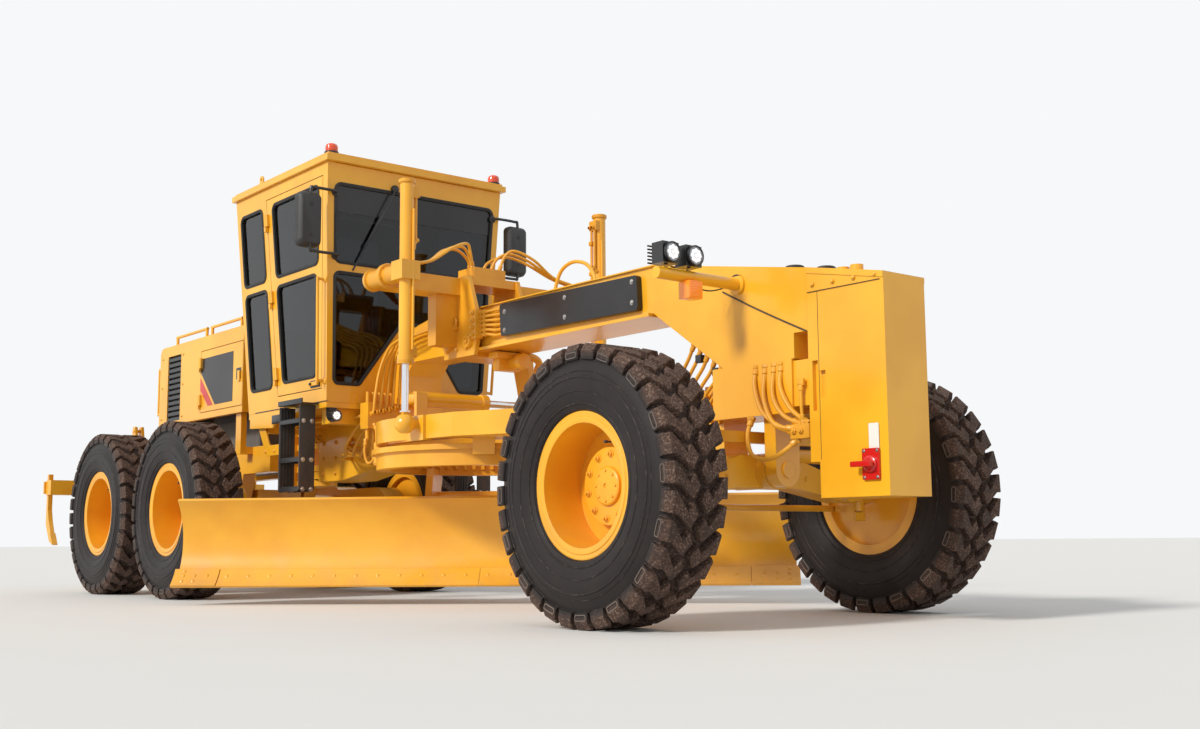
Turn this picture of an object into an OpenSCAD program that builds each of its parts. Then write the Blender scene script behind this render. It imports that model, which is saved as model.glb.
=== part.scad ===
// Articulated motor grader: front axle at x = front_axle_x, X forward, Y left, Z up, ground at z = 0.
// Every module draws its piece at rest. Right-hand pieces are drawn first and mirrored for the left.

/* [Wheels and stance] */
// Middle of the tandem behind the hood's front
tandem_lead = 530; // [500:5:560]
// Between the two axles of a tandem
tandem_spacing = 1525; // [1480:5:1600]
// Wheel track, centre to centre
track = 2100; // [2050:5:2200]
// Tyre radius over the lugs
tyre_r = 685; // [670:1:700]
// Tyre section width
tyre_w = 374; // [350:1:390]
// Radius of the tread floor between the lugs
tread_floor_r = 644; // [635:1:655]
// Lugs on each side of a tyre
lug_count = 20; // [16:1:24]
// Width of one lug along the tread
lug_w = 104; // [80:1:120]
// How far a lug leads from the centre line to the shoulder
lug_sweep = 86; // [50:1:110]
// Lowest radius that a lug reaches on the sidewall
lug_foot_r = 566; // [540:1:600]
// Radius of the rim's bead seat
bead_r = 322; // [310:1:330]
// Radius of the rim flange
rim_flange_r = 358; // [350:1:370]
// Rim width over the flanges
rim_w = 292; // [270:1:310]
// Inner radius of the rim barrel
rim_bore_r = 300; // [290:1:308]
// Thickness of a wheel disc
disc_t = 22; // [14:1:30]
// Wheel disc inboard of the wheel's centre plane
disc_inset = 96; // [70:1:110]
// Radius of a wheel spindle
spindle_r = 50; // [40:1:60]
// Radial running clearance of spindles and pins
fit = 0.05; // [0.02:0.01:0.08]

/* [Front axle] */
// Height of the axle's oscillation pin
axle_pin_z = 780; // [760:1:800]
// Radius of the oscillation pin
axle_pin_r = 45; // [38:1:52]
// Width of the axle beam along x
axle_beam_w = 160; // [130:1:180]
// Distance of a lean pivot from the centre plane
lean_y = 660; // [640:1:680]
// Height of the lean pivots
lean_z = 690; // [680:1:700]
// Radius of the lean pins
lean_pin_r = 28; // [22:1:34]
// Distance of a kingpin from the centre plane
kingpin_y = 800; // [795:1:810]
// Radius of the kingpins
kingpin_r = 30; // [24:1:34]
// Steering arm, kingpin to ball
steer_arm = 120; // [100:1:130]
// Height of the lean bar's centre
lean_bar_z = 955; // [930:1:965]
// Diameter of the tie rod
tie_rod_d = 36; // [28:1:44]

/* [Front frame] */
// Width of the main beam
beam_w = 300; // [260:5:340]
// Top of the main beam
beam_top_z = 1985; // [1950:5:2020]
// Depth of the main beam
beam_depth = 272; // [250:1:300]
// Beam's top where it meets the front box
nose_top_z = 1790; // [1760:5:1820]
// Underside of the gooseneck
gooseneck_z = 1335; // [1310:5:1360]
// Front end of the main beam, ahead of the front axle
beam_front = 530; // [500:5:560]
// Underside of the bolster
bolster_z = 1060; // [1040:5:1090]
// Thickness of the flange plates on the beam
flange_t = 20; // [12:1:28]
// Flange overhang on each side of the beam
flange_out = 36; // [20:1:50]
// Drawbar ball behind the front axle
ball_back = 300; // [280:5:320]
// Height of the drawbar ball
ball_z = 1150; // [1130:5:1170]
// Radius of the drawbar ball
ball_r = 70; // [60:1:80]
// Articulation pins behind the cab's rear wall
hitch_gap = 50; // [30:5:70]
// Radius of the articulation pins
hitch_pin_r = 40; // [32:1:48]

/* [Front box] */
// Length of the front box
box_l = 490; // [450:5:520]
// Width of the front box
box_w = 312; // [290:2:340]
// Bottom of the front box
box_z = 620; // [600:5:660]
// Top of the front box at its front
box_front_top_z = 1695; // [1670:5:1720]

/* [Cab] */
// Underside of the cab floor
cab_z = 1380; // [1370:5:1400]
// Cab floor thickness
floor_t = 40; // [30:1:50]
// Height of the cab walls
cab_h = 1732; // [1690:5:1760]
// Thickness of the cab walls and doors
cab_wall = 50; // [40:1:60]
// Half width of the cab at the floor
cab_half_w = 685; // [660:5:700]
// Outward lean of the side walls
cab_lean = 2.3; // [1.8:0.1:2.8]
// Front wall behind the neck's rear face, at the floor
cab_gap = 35; // [25:5:45]
// Forward lean of the front wall
cab_rake = 2.98; // [2.5:0.01:3.4]
// Cab length at the floor
cab_l = 1280; // [1250:5:1300]
// How far the rear wall leans back over its height
cab_rear_lean = 180; // [150:5:200]
// Thickness of the roof's edge
roof_t = 64; // [50:1:80]
// Overhang of the roof past the walls
roof_out = 26; // [15:1:40]
// Thickness of the window glass
glass_t = 6; // [5:1:8]
// Height of the split between upper and lower windows above the floor
sill_h = 975; // [955:5:990]
// Corner radius of the windows
window_r = 48; // [30:1:60]
// Gap around a cab door
door_gap = 6; // [5:1:8]
// Radius of the cab door hinge pins
door_pin_r = 7; // [5:1:9]

/* [Drawbar, circle and blade] */
// Circle centre behind the front axle
circle_back = 2570; // [2550:5:2590]
// Outer radius of the circle
circle_r = 765; // [750:1:780]
// Width of the circle's ring
circle_ring_w = 120; // [100:1:140]
// Underside of the circle
circle_z = 900; // [890:1:910]
// Height of the circle's ring
circle_h = 136; // [120:1:140]
// Height of the flange round the circle's top, which the drawbar's shoes grip
circle_flange_h = 36; // [25:1:45]
// Flange's reach past the ring
circle_flange_w = 30; // [20:1:40]
// Teeth inside the circle
circle_teeth = 60; // [48:1:72]
// Drawbar underside above the circle's top
drawbar_gap = 34; // [30:1:38]
// Depth of the drawbar
drawbar_h = 150; // [140:1:155]
// Width of a drawbar rail
drawbar_rail_w = 150; // [120:1:170]
// Angle of the blade from straight across
blade_angle = 45; // [35:1:50]
// Length of the moldboard
blade_l = 4267; // [3658:1:4267]
// Arc radius of the moldboard
blade_arc_r = 413; // [400:1:430]
// Moldboard thickness
blade_t = 22; // [19:1:25]
// Half the angle that the moldboard's arc spans
blade_half_arc = 43.5; // [41:0.5:44]
// Bottom of the cutting edge
edge_z = 120; // [110:1:150]
// Height of the cutting edge
edge_h = 152; // [150:1:203]
// Thickness of the cutting edge
edge_t = 16; // [13:1:19]
// Sideshift of the blade at rest
blade_shift = -40; // [-100:5:100]
// Distance between the circle's two arms
arm_spacing = 960; // [900:10:1000]
// Thickness of a circle arm
arm_t = 50; // [40:1:60]
// Height of the blade's tip hinge
tip_z = 392; // [380:1:400]
// Tip hinge behind the circle's centre
tip_back = 262; // [255:1:275]
// Radius of the tip hinge pins
tip_pin_r = 24; // [18:1:28]

/* [Lift and centreshift cylinders] */
// Lift cylinders behind the front axle
lift_back = 2300; // [2280:5:2320]
// Lift cylinders from the centre plane
lift_y = 800; // [790:5:810]
// Height of the lift cylinders' trunnions
trunnion_z = 2150; // [2130:5:2170]
// Top of the lift cylinders
lift_top_z = 2750; // [2700:5:2780]
// Bottom of the lift barrels
lift_low_z = 1545; // [1530:5:1560]
// Diameter of the lift barrels
lift_d = 90; // [80:1:100]
// Diameter of the lift rods
lift_rod_d = 45; // [38:1:50]
// Height of the lift rods' eyes
lift_eye_z = 1165; // [1155:1:1170]
// Radius of the caps round the lift rods' balls
lift_cap_r = 66; // [60:1:68]
// Centreshift cylinder behind the front axle
shift_back = 2450; // [2430:5:2470]
// Height of the centreshift cylinder
shift_z = 1345; // [1335:5:1355]
// Centreshift cylinder's hinge, right of the centre plane
shift_hinge_y = 640; // [620:5:650]
// Centreshift rod's eye, left of the centre plane
shift_eye_y = 300; // [280:5:310]
// Diameter of the centreshift barrel
shift_d = 100; // [90:1:110]

/* [Rear frame and hood] */
// Width of the hood
hood_w = 1000; // [960:10:1060]
// Top of the hood
hood_top_z = 2225; // [2180:5:2260]
// Bottom of the hood
hood_z = 1500; // [1480:5:1520]
// Hood's front behind the cab's rear wall
hood_gap = 540; // [520:5:570]
// Length of the hood
hood_l = 1810; // [1760:10:1860]
// Thickness of the hood panels
hood_t = 25; // [15:1:35]
// Length of an engine door
engine_door_l = 850; // [800:10:880]
// Bottom of an engine door
engine_door_z = 1560; // [1550:5:1580]
// Height of an engine door
engine_door_h = 535; // [500:5:560]
// Radius of the engine door hinge pins
engine_hinge_r = 6; // [5:1:8]
// Height of the rear frame rails
rail_h = 220; // [200:5:240]
// Bottom of the rear frame rails
rail_z = 1000; // [980:5:1020]
// Width of a rear frame rail
rail_w = 110; // [90:5:130]
// Outside width over the rear frame rails
rails_out = 700; // [660:10:740]
// Rear end of the rear frame behind the hood
tail_l = 400; // [360:10:440]
// Inner face of a tandem case from the centre plane
tandem_in_y = 620; // [610:5:630]
// Width of a tandem case
tandem_w = 190; // [170:5:200]
// Radius of a tandem case round its axles
tandem_end_r = 205; // [190:1:220]
// Radius of the tandem pivots
tandem_pin_r = 120; // [100:1:130]

/* [Ripper] */
// Ripper beam behind its hinge
ripper_arm = 690; // [650:10:730]
// Height of the ripper beam's centre
ripper_z = 970; // [960:5:985]
// Side of the square ripper beam
ripper_side = 140; // [120:5:150]
// Length of the ripper beam
ripper_l = 2200; // [2000:10:2300]
// Ripper hinge behind the rear frame
ripper_hinge_out = 110; // [100:5:120]
// Height of the ripper hinge
ripper_hinge_z = 880; // [870:5:890]
// Radius of the ripper hinge pins
ripper_pin_r = 30; // [24:1:34]
// Shanks on the ripper beam
shank_count = 5; // [3:2:7]

/* [Hidden] */
$fn = 48;
yellow = [0.96, 0.70, 0.16];
dark_yellow = [0.90, 0.62, 0.12];
black = [0.08, 0.08, 0.08];
rubber = [0.13, 0.12, 0.12];
steel = [0.75, 0.76, 0.78];
tinted = [0.10, 0.13, 0.16, 0.5];

// Seating clearance between fixed neighbours with curved or separate faces
seat = 0.3;
// Least clearance that a moving piece keeps from a fixed one
run = 5;
wheel_y = track / 2;

// A block between two opposite corners
module block(low, high) {
    translate(low) cube(high - low);
}
// Round bars along one axis, from one end to the other
module rod_x(x0, x1, y, z, r) {
    translate([x0, y, z]) rotate([0, 90, 0]) cylinder(h = x1 - x0, r = r);
}
module rod_y(y0, y1, x, z, r) {
    translate([x, y0, z]) rotate([-90, 0, 0]) cylinder(h = y1 - y0, r = r);
}
module rod_z(z0, z1, x, y, r) {
    translate([x, y, z0]) cylinder(h = z1 - z0, r = r);
}
// A plate drawn in x and z, y0 to y1 thick
module side_plate(points, y0, y1) {
    translate([0, y1, 0]) rotate([90, 0, 0]) linear_extrude(y1 - y0) polygon(points);
}
// A plate drawn in y and z, x0 to x1 thick
module face_plate(points, x0, x1) {
    translate([x0, 0, 0]) rotate([90, 0, 90]) linear_extrude(x1 - x0) polygon(points);
}
// A plate drawn in x and y, z0 to z1 thick
module plan_plate(points, z0, z1) {
    translate([0, 0, z0]) linear_extrude(z1 - z0) polygon(points);
}
// Draws its children and their mirror image across the centre plane
module both_sides() {
    children();
    mirror([0, 1, 0]) children();
}
// Draws right-hand children as they are, or mirrored for the left
module on_side(left) {
    if (left) mirror([0, 1, 0]) children();
    else children();
}
// Moves children from front-axle coordinates into the machine's frame
module at_axle() {
    translate([front_axle_x, 0, 0]) children();
}

// Outline helpers: unit vector, outline grown outwards by d, outline with round corners
function unit(v) = v / norm(v);
function turn(v) = [v[1], -v[0]];
function ring_at(points, i) = points[(i + len(points)) % len(points)];
function area2(points) = [for (i = 0, s = 0; i <= len(points);
    s = s + (i < len(points) ? cross(points[i], ring_at(points, i + 1)) : 0), i = i + 1)
    if (i == len(points)) s][0];
function grown(points, d) = let (way = area2(points) > 0 ? 1 : -1) [
    for (i = [0:len(points) - 1])
        let (a = turn(unit(points[i] - ring_at(points, i - 1))) * way,
             b = turn(unit(ring_at(points, i + 1) - points[i])) * way)
        points[i] + (a + b) * d / (1 + a * b)
];
function corner_arc(before, at, after, r, steps) =
    let (a = unit(before - at), b = unit(after - at),
         half = acos(a * b) / 2,
         centre = at + unit(a + b) * r / sin(half),
         start = at + a * r / tan(half),
         finish = at + b * r / tan(half),
         v0 = start - centre, v1 = finish - centre)
    [for (k = [0:steps]) centre + r * unit(v0 * (steps - k) / steps + v1 * k / steps)];
function rounded(points, r, steps = 4) = [
    for (i = [0:len(points) - 1])
        each corner_arc(ring_at(points, i - 1), points[i], ring_at(points, i + 1), r, steps)
];

// Heights and places that several pieces share
beam_low_z = beam_top_z - beam_depth;
// Back and front face of the neck behind the circle, which reaches 3051 mm from the ball
neck_front_x = -(circle_back + circle_r + 30);
neck_x = neck_front_x - 170;
hitch_lug_t = 60;
hitch_high_z = 1230;
hitch_low_z = 930;
lug_gap = 150;
ball_x = -ball_back;
circle_x = -circle_back;
circle_top_z = circle_z + circle_h;
drawbar_z = circle_top_z + drawbar_gap;
drawbar_top_z = drawbar_z + drawbar_h;
lift_x = -lift_back;
shift_x = -shift_back;
floor_z = cab_z + floor_t;
cab_front_x = neck_x - cab_gap;
cab_rear_x = cab_front_x - cab_l;
hitch_x = cab_rear_x - hitch_gap;
cab_top_z = floor_z + cab_h;
// The leaning side walls' inner top edges stand highest, and the roof rests on them
roof_z = floor_z + cab_h * cos(cab_lean) + cab_wall * sin(cab_lean) + seat;
roof_front_x = cab_front_x + cab_h * tan(cab_rake) + 40;
roof_rear_x = cab_rear_x - cab_rear_lean - 30;
cab_half_top = cab_half_w + cab_h * tan(cab_lean);
hood_front_x = cab_rear_x - hood_gap;
hood_rear_x = hood_front_x - hood_l;
tandem_x = hood_front_x - tandem_lead;
middle_back = -tandem_x - tandem_spacing / 2;
rear_back = -tandem_x + tandem_spacing / 2;
frame_tail_x = hood_rear_x - tail_l;
ripper_hinge_x = frame_tail_x - ripper_hinge_out;
ripper_x = ripper_hinge_x - ripper_arm;
// The machine from the ripper beam to the front box is centred on x = 0
front_axle_x = (ripper_side / 2 - ripper_x - beam_front - box_l) / 2;
wheel_z = tyre_r;

// Wheels: drawn about the Y axis at the origin, outboard towards -y
tyre_side_r = 330;
tyre_mid_r = 490;
module tyre_profile(side_reach, low, high) {
    intersection() {
        translate([tyre_mid_r, tyre_side_r - tyre_w / 2]) circle(r = side_reach, $fn = 96);
        translate([tyre_mid_r, tyre_w / 2 - tyre_side_r]) circle(r = side_reach, $fn = 96);
        translate([low, -tyre_w / 2]) square([high - low, tyre_w]);
    }
}
module lug_blank(w, sweep, foot) {
    translate([0, 0, foot]) linear_extrude(tyre_r + 20 - foot)
        polygon([[-w / 2, 7], [w / 2, 7], [sweep + w / 2, 112], [sweep + w / 2, 205],
                 [sweep - w / 2, 205], [sweep - w / 2, 112]]);
}
module tyre() {
    pitch = 360 / lug_count;
    // Carcass, narrowed between the rim's flanges
    rotate([90, 0, 0]) rotate_extrude($fn = 96) difference() {
        tyre_profile(tyre_side_r, bead_r, tread_floor_r);
        for (v = [-tyre_w / 2, rim_w / 2 - flange_w - seat])
            translate([bead_r - 1, v])
                square([rim_flange_r + seat - bead_r + 1, tyre_w / 2 - rim_w / 2 + flange_w + seat]);
    }
    intersection() {
        rotate([90, 0, 0]) rotate_extrude($fn = 96)
            polygon([[lug_foot_r, -tyre_w / 2 + 8], [lug_foot_r, tyre_w / 2 - 8],
                     [lug_foot_r + 40, tyre_w / 2], [tyre_r - 38, tyre_w / 2],
                     [tyre_r, tyre_w / 2 - 24], [tyre_r, 24 - tyre_w / 2],
                     [tyre_r - 38, -tyre_w / 2], [lug_foot_r + 40, -tyre_w / 2]]);
        union() {
            for (i = [0:lug_count - 1]) {
                rotate([0, i * pitch, 0]) lug_blank(lug_w, lug_sweep, lug_foot_r - 10);
                rotate([0, (i + 0.5) * pitch, 0]) mirror([0, 1, 0])
                    lug_blank(lug_w, lug_sweep, lug_foot_r - 10);
            }
        }
    }
}
hub_rise = 62;
flange_w = 12;
module rim(front) {
    in = rim_w / 2;
    barrel_r = bead_r - seat;
    hub_r1 = front ? 200 : 150;
    outer = disc_t / 2 - disc_inset;
    inner = -disc_t / 2 - disc_inset;
    // Barrel with its two flanges and the hub with its blind bore, one revolved section
    rotate([90, 0, 0]) rotate_extrude($fn = 96)
        polygon([[rim_bore_r, -in], [rim_flange_r, -in], [rim_flange_r, -in + flange_w],
                 [barrel_r, -in + flange_w], [barrel_r, in - flange_w], [rim_flange_r, in - flange_w],
                 [rim_flange_r, in], [rim_bore_r, in], [rim_bore_r, outer], [hub_r1, outer],
                 [hub_r1 - 10, outer + hub_rise], [0, outer + hub_rise], [0, 40 - disc_inset],
                 [spindle_r + fit, 40 - disc_inset], [spindle_r + fit, inner], [rim_bore_r, inner]]);
}
module wheel_at(x, left) {
    at_axle() on_side(left) translate([x, -wheel_y, wheel_z]) children();
}
module rim_front_right() { color(yellow) wheel_at(0, false) rim(true); }
module rim_front_left() { color(yellow) wheel_at(0, true) rim(true); }
module rim_middle_right() { color(yellow) wheel_at(-middle_back, false) rim(false); }
module rim_middle_left() { color(yellow) wheel_at(-middle_back, true) rim(false); }
module rim_rear_right() { color(yellow) wheel_at(-rear_back, false) rim(false); }
module rim_rear_left() { color(yellow) wheel_at(-rear_back, true) rim(false); }
module tyre_front_right() { color(rubber) wheel_at(0, false) tyre(); }
module tyre_front_left() { color(rubber) wheel_at(0, true) tyre(); }
module tyre_middle_right() { color(rubber) wheel_at(-middle_back, false) tyre(); }
module tyre_middle_left() { color(rubber) wheel_at(-middle_back, true) tyre(); }
module tyre_rear_right() { color(rubber) wheel_at(-rear_back, false) tyre(); }
module tyre_rear_left() { color(rubber) wheel_at(-rear_back, true) tyre(); }

// Front frame: beam with flanges, neck down to the hitch, bolster and axle lugs
module main_frame() {
    half = beam_w / 2;
    color(yellow) at_axle() difference() {
        union() {
            side_plate([[beam_front, nose_top_z], [-600, beam_top_z], [-2750, beam_top_z],
                        [neck_x, 1880], [neck_x, cab_z], [-4500, cab_z], [-4700, 1290],
                        [-4700, 900], [-4300, 900], [neck_front_x - 160, 1010], [neck_front_x, 1160],
                        [neck_front_x, beam_low_z - 90], [neck_front_x + 90, beam_low_z],
                        [-650, beam_low_z], [-90, gooseneck_z],
                        [430, gooseneck_z], [430, 1465], [beam_front, 1465]], -half, half);
            // Flanges along the beam's top and underside
            block([-2600, -half - flange_out, beam_low_z - flange_t],
                  [-650, half + flange_out, beam_low_z]);
            block([-2700, -half - flange_out / 2, beam_top_z], [-600, half + flange_out / 2, beam_top_z + 8]);
            // Cab mounts on the neck
            both_sides() for (x = [cab_front_x - 120, cab_rear_x + 160])
                block([x - 60, half - 1, cab_z - 110], [x + 60, cab_half_w - 60, cab_z]);
            // Bolster, its end plate and the lugs that hold the axle pin
            block([-170, -half, bolster_z], [410, half, gooseneck_z + 1]);
            for (x = [-lug_gap - 80, lug_gap]) {
                rod_x(x, x + 80, 0, axle_pin_z, 90);
                block([x, -90, axle_pin_z], [x + 80, 90, bolster_z + 1]);
            }
            rod_x(-lug_gap - 90, lug_gap + 90, 0, axle_pin_z, axle_pin_r);
            // Socket block of the drawbar ball
            block([ball_x + 22, -105, ball_z - 105], [-169, 105, ball_z + 105]);
            // Hitch lugs
            for (z = [hitch_low_z, hitch_high_z]) {
                rod_z(z, z + hitch_lug_t, hitch_x, 0, 110);
                block([hitch_x, -110, z], [-4699, 110, z + hitch_lug_t]);
            }
        }
        translate([ball_x, 0, ball_z]) sphere(r = ball_r + seat, $fn = 64);
        rod_z(hitch_low_z - 1, hitch_high_z + hitch_lug_t + 1, hitch_x, 0, hitch_pin_r + fit);
    }
}

// Saddle on the beam: straddling plates, cross arms and the hubs of the lift cylinders
hub_r = 62;
yoke_half = 75;
saddle_top_z = trunnion_z + 70;
saddle_low_z = beam_low_z - flange_t - 30;
module blade_saddle() {
    half = beam_w / 2 + flange_out + seat;
    color(yellow) at_axle() {
        both_sides() {
            // Cheek plate on the beam's side, cross arm out to the hub
            side_plate([[-2760, saddle_low_z], [-2390, saddle_low_z], [-2330, 1860],
                [-2470, saddle_top_z], [-2760, saddle_top_z]], -half - 30, -half);
            side_plate([[-2740, trunnion_z - 60], [-2560, trunnion_z - 60], [-2560, trunnion_z + 60],
                        [-2740, trunnion_z + 60]], -lift_y, -half - 29);
            side_plate([[-2700, 1740], [-2600, 1740], [-2600, trunnion_z - 59], [-2700, trunnion_z - 59]],
                       -half - 200, -half - 29);
            rod_x(-2740, lift_x - yoke_half - seat, -lift_y, trunnion_z, hub_r);
        }
        // Bridge over the beam and tie under it
        block([-2740, -half - 1, saddle_top_z - 60], [-2480, half + 1, saddle_top_z]);
        block([-2740, -half - 1, saddle_low_z], [-2440, half + 1, beam_low_z - flange_t - seat]);
        // Hanger of the centreshift rod
        side_plate([[shift_x - 60, shift_z - 60], [shift_x + 60, shift_z - 60],
                    [-2440, saddle_low_z + 10], [-2620, saddle_low_z + 10]],
                   shift_eye_y - 40, shift_eye_y + 10);
        block([-2620, half - 10, saddle_low_z],
              [-2460, shift_eye_y + 10, beam_low_z - flange_t - seat]);
    }
}

// Battery and tool box ahead of the bolster
module front_box() {
    half = box_w / 2;
    x0 = beam_front;
    x1 = beam_front + box_l;
    color(yellow) at_axle() difference() {
        union() {
            side_plate([[x0, nose_top_z - 30], [x0, box_z + 180], [x0 + 60, box_z + 180], [x0 + 60, box_z],
                        [x1, box_z], [x1, box_front_top_z - 30]], -half, half);
            // Cover with a turned-down lip
            side_plate([[x0, nose_top_z], [x0, nose_top_z - 32], [x1, box_front_top_z - 32],
                        [x1, box_front_top_z]], -half - 4, half + 4);
            // Bracket back to the bolster
            block([410, -half + 20, 1090], [x0 + 1, half - 20, gooseneck_z - 10]);
            // Filler lids on the cover
            for (x = [x0 + 60, x0 + 150]) rod_z(nose_top_z - 60, nose_top_z + 14, x, 60, 34);
        }
        // Latch recesses in both side faces
        both_sides() {
            block([x0 + 26, -half - 10, 1055], [x0 + 61, -half + 25, 1307]);
            block([x0 + 26, -half - 10, 1118], [x0 + 110, -half + 25, 1253]);
        }
    }
}

// Cab: outlines in the plane of the right side wall, x from the front axle, height above the floor
function cab_front_at(h) = cab_front_x + h * tan(cab_rake);
function cab_rear_at(h) = cab_rear_x - h * cab_rear_lean / cab_h;
door_low_h = 105;
door_high_h = cab_h - 92;
door_hinge_x = cab_front_x - 765;
door_line_lean = 0.098;
function door_line_at(h) = door_hinge_x - (h - door_low_h) * door_line_lean;
post_w = 78;
side_outline = [[cab_front_at(0), 0], [cab_front_at(cab_h), cab_h], [cab_rear_at(cab_h), cab_h],
    [cab_rear_at(0), 0]];
door_outline = [[cab_front_at(door_low_h) - post_w, door_low_h],
    [cab_front_at(door_high_h) - post_w, door_high_h],
                [door_line_at(door_high_h), door_high_h], [door_line_at(door_low_h), door_low_h]];
function slot_outline(low, high, rear, front) = [
    [front == "door" ? door_line_at(low) - 82 : cab_front_at(low) - front, low],
    [front == "door" ? door_line_at(high) - 82 : cab_front_at(high) - front, high],
    [rear == "door" ? door_line_at(high) + 96 : cab_rear_at(high) + rear, high],
    [rear == "door" ? door_line_at(low) + 96 : cab_rear_at(low) + rear, low]];
low_sill = 175;
high_head = door_high_h - 55;
split = 72;
rear_windows = [slot_outline(low_sill, sill_h - split / 2, 70, "door"),
                slot_outline(sill_h + split / 2, high_head, 70, "door")];
door_windows = [slot_outline(low_sill + 20, sill_h - split / 2, "door", post_w + 82),
                slot_outline(sill_h + split / 2, high_head, "door", post_w + 60)];
front_half_low = cab_half_w - 56;
function front_half_at(h) = front_half_low + h * 0.036;
screen_outline = [[-front_half_at(sill_h), sill_h + split / 2], [front_half_at(sill_h), sill_h + split / 2],
                  [front_half_at(high_head), high_head], [-front_half_at(high_head), high_head]];
low_screen_outline = [[-front_half_at(low_sill), low_sill - 40], [-430, low_sill - 40], [-95, 610], [95, 610],
                      [430, low_sill - 40], [front_half_at(low_sill), low_sill - 40],
                      [front_half_at(sill_h), sill_h - split / 2],
                          [-front_half_at(sill_h), sill_h - split / 2]];
rear_screen_outline = [[-520, 700], [520, 700], [540, high_head], [-540, high_head]];

// Moves a side wall drawn in x and z at y = 0 (outer face), inside towards +y, to the right wall
module in_side_wall() {
    translate([0, -cab_half_w, floor_z]) rotate([cab_lean, 0, 0]) children();
}
// Moves a front wall drawn in y and z, outer face at x = 0, into place
module in_front_wall() {
    translate([cab_front_x, 0, floor_z]) rotate([0, cab_rake, 0]) children();
}
rear_tilt = atan(cab_rear_lean / cab_h);
module in_rear_wall() {
    translate([cab_rear_x, 0, floor_z]) rotate([0, -rear_tilt, 0]) children();
}
hinge_out = 16;
hinge_lean = atan(door_line_lean);
hinge_heights = [120, 720, 1330];
hinge_l = 90;
// Moves pieces onto the door's hinge line, z along the line from the door's bottom
module on_door_hinge() {
    translate([door_hinge_x - 2, -hinge_out, door_low_h]) rotate([0, -hinge_lean, 0]) children();
}

module cab_floor() {
    color(yellow) at_axle() {
        block([cab_rear_x + 1, -cab_half_w + 1, cab_z], [cab_front_x - 1, cab_half_w - 1, floor_z]);
        // Skirts under the floor on both sides
        both_sides() side_plate([[cab_rear_x + 20, cab_z], [cab_rear_x + 20, cab_z - 70],
            [cab_rear_x + 420, cab_z - 90],
                                 [cab_rear_x + 480, cab_z]], -cab_half_w + 1, -cab_half_w + 21);
    }
}

module cab_side_shell() {
    in_side_wall() {
        difference() {
            side_plate(side_outline, 0, cab_wall);
            side_plate(grown(door_outline, door_gap), -1, cab_wall + 1);
            for (w = rear_windows) side_plate(rounded(w, window_r), -1, cab_wall + 1);
        }
        // Hinge pins on lugs beside the door's rear edge
        on_door_hinge() for (h = hinge_heights) {
            rod_z(h - 40, h + hinge_l + 6, 0, 0, door_pin_r);
            block([-18, -10, h - 40], [10, hinge_out - run, h - seat]);
            block([-18, -10, h - 40], [-door_gap + 1, hinge_out + 0.5, h - seat]);
        }
        // Grab bar on the front post
        for (h = [150, 880]) rod_y(-60, 1, cab_front_at(h) - 30, h, 11);
        translate([cab_front_at(150) - 30, -60, 138]) rotate([0, cab_rake, 0]) cylinder(h = 756, r = 11);
    }
}

module cab_shell() {
    color(yellow) at_axle() {
        both_sides() cab_side_shell();
        in_front_wall() difference() {
            face_plate([[-cab_half_w, 0], [cab_half_w, 0], [cab_half_top, cab_h],
                [-cab_half_top, cab_h]], -cab_wall, 0);
            face_plate(rounded(screen_outline, window_r), -cab_wall - 1, 1);
            face_plate(rounded(low_screen_outline, window_r), -cab_wall - 1, 1);
        }
        in_rear_wall() difference() {
            face_plate([[-cab_half_w, 0], [cab_half_w, 0], [cab_half_top, cab_h],
                [-cab_half_top, cab_h]], 0, cab_wall);
            face_plate(rounded(rear_screen_outline, window_r), -1, cab_wall + 1);
        }
    }
}

module cab_roof() {
    top = cab_half_top + roof_out;
    color(yellow) at_axle() {
        block([roof_rear_x, -top, roof_z], [roof_front_x, top, cab_top_z + roof_t - 20]);
        block([roof_rear_x + 20, -top + 20, cab_top_z + roof_t - 21],
            [roof_front_x - 20, top - 20, cab_top_z + roof_t]);
        // Lifting eyes and corner lamps
        both_sides() {
            translate([roof_rear_x + 420, -top + 60, cab_top_z + roof_t - 1]) rotate([90, 0, 0])
                difference() {
                union() {
                    translate([-30, 0, -6]) cube([60, 50, 12]);
                    translate([0, 50, -6]) cylinder(h = 12, r = 30);
                }
                translate([0, 50, -7]) cylinder(h = 14, r = 14);
            }
            rod_z(cab_top_z + roof_t - 1, cab_top_z + roof_t + 52, roof_front_x - 70, -top + 70, 30);
        }
    }
}

module pane(outline) {
    side_plate(rounded(grown(outline, -seat), window_r), 14, 14 + glass_t);
}
module cab_glass() {
    color(tinted) at_axle() {
        both_sides() in_side_wall() for (w = rear_windows) pane(w);
        in_front_wall() for (w = [screen_outline, low_screen_outline])
            face_plate(rounded(grown(w, -seat), window_r), -14 - glass_t, -14);
        in_rear_wall() face_plate(rounded(grown(rear_screen_outline, -seat), window_r), 14, 14 + glass_t);
    }
}

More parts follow.
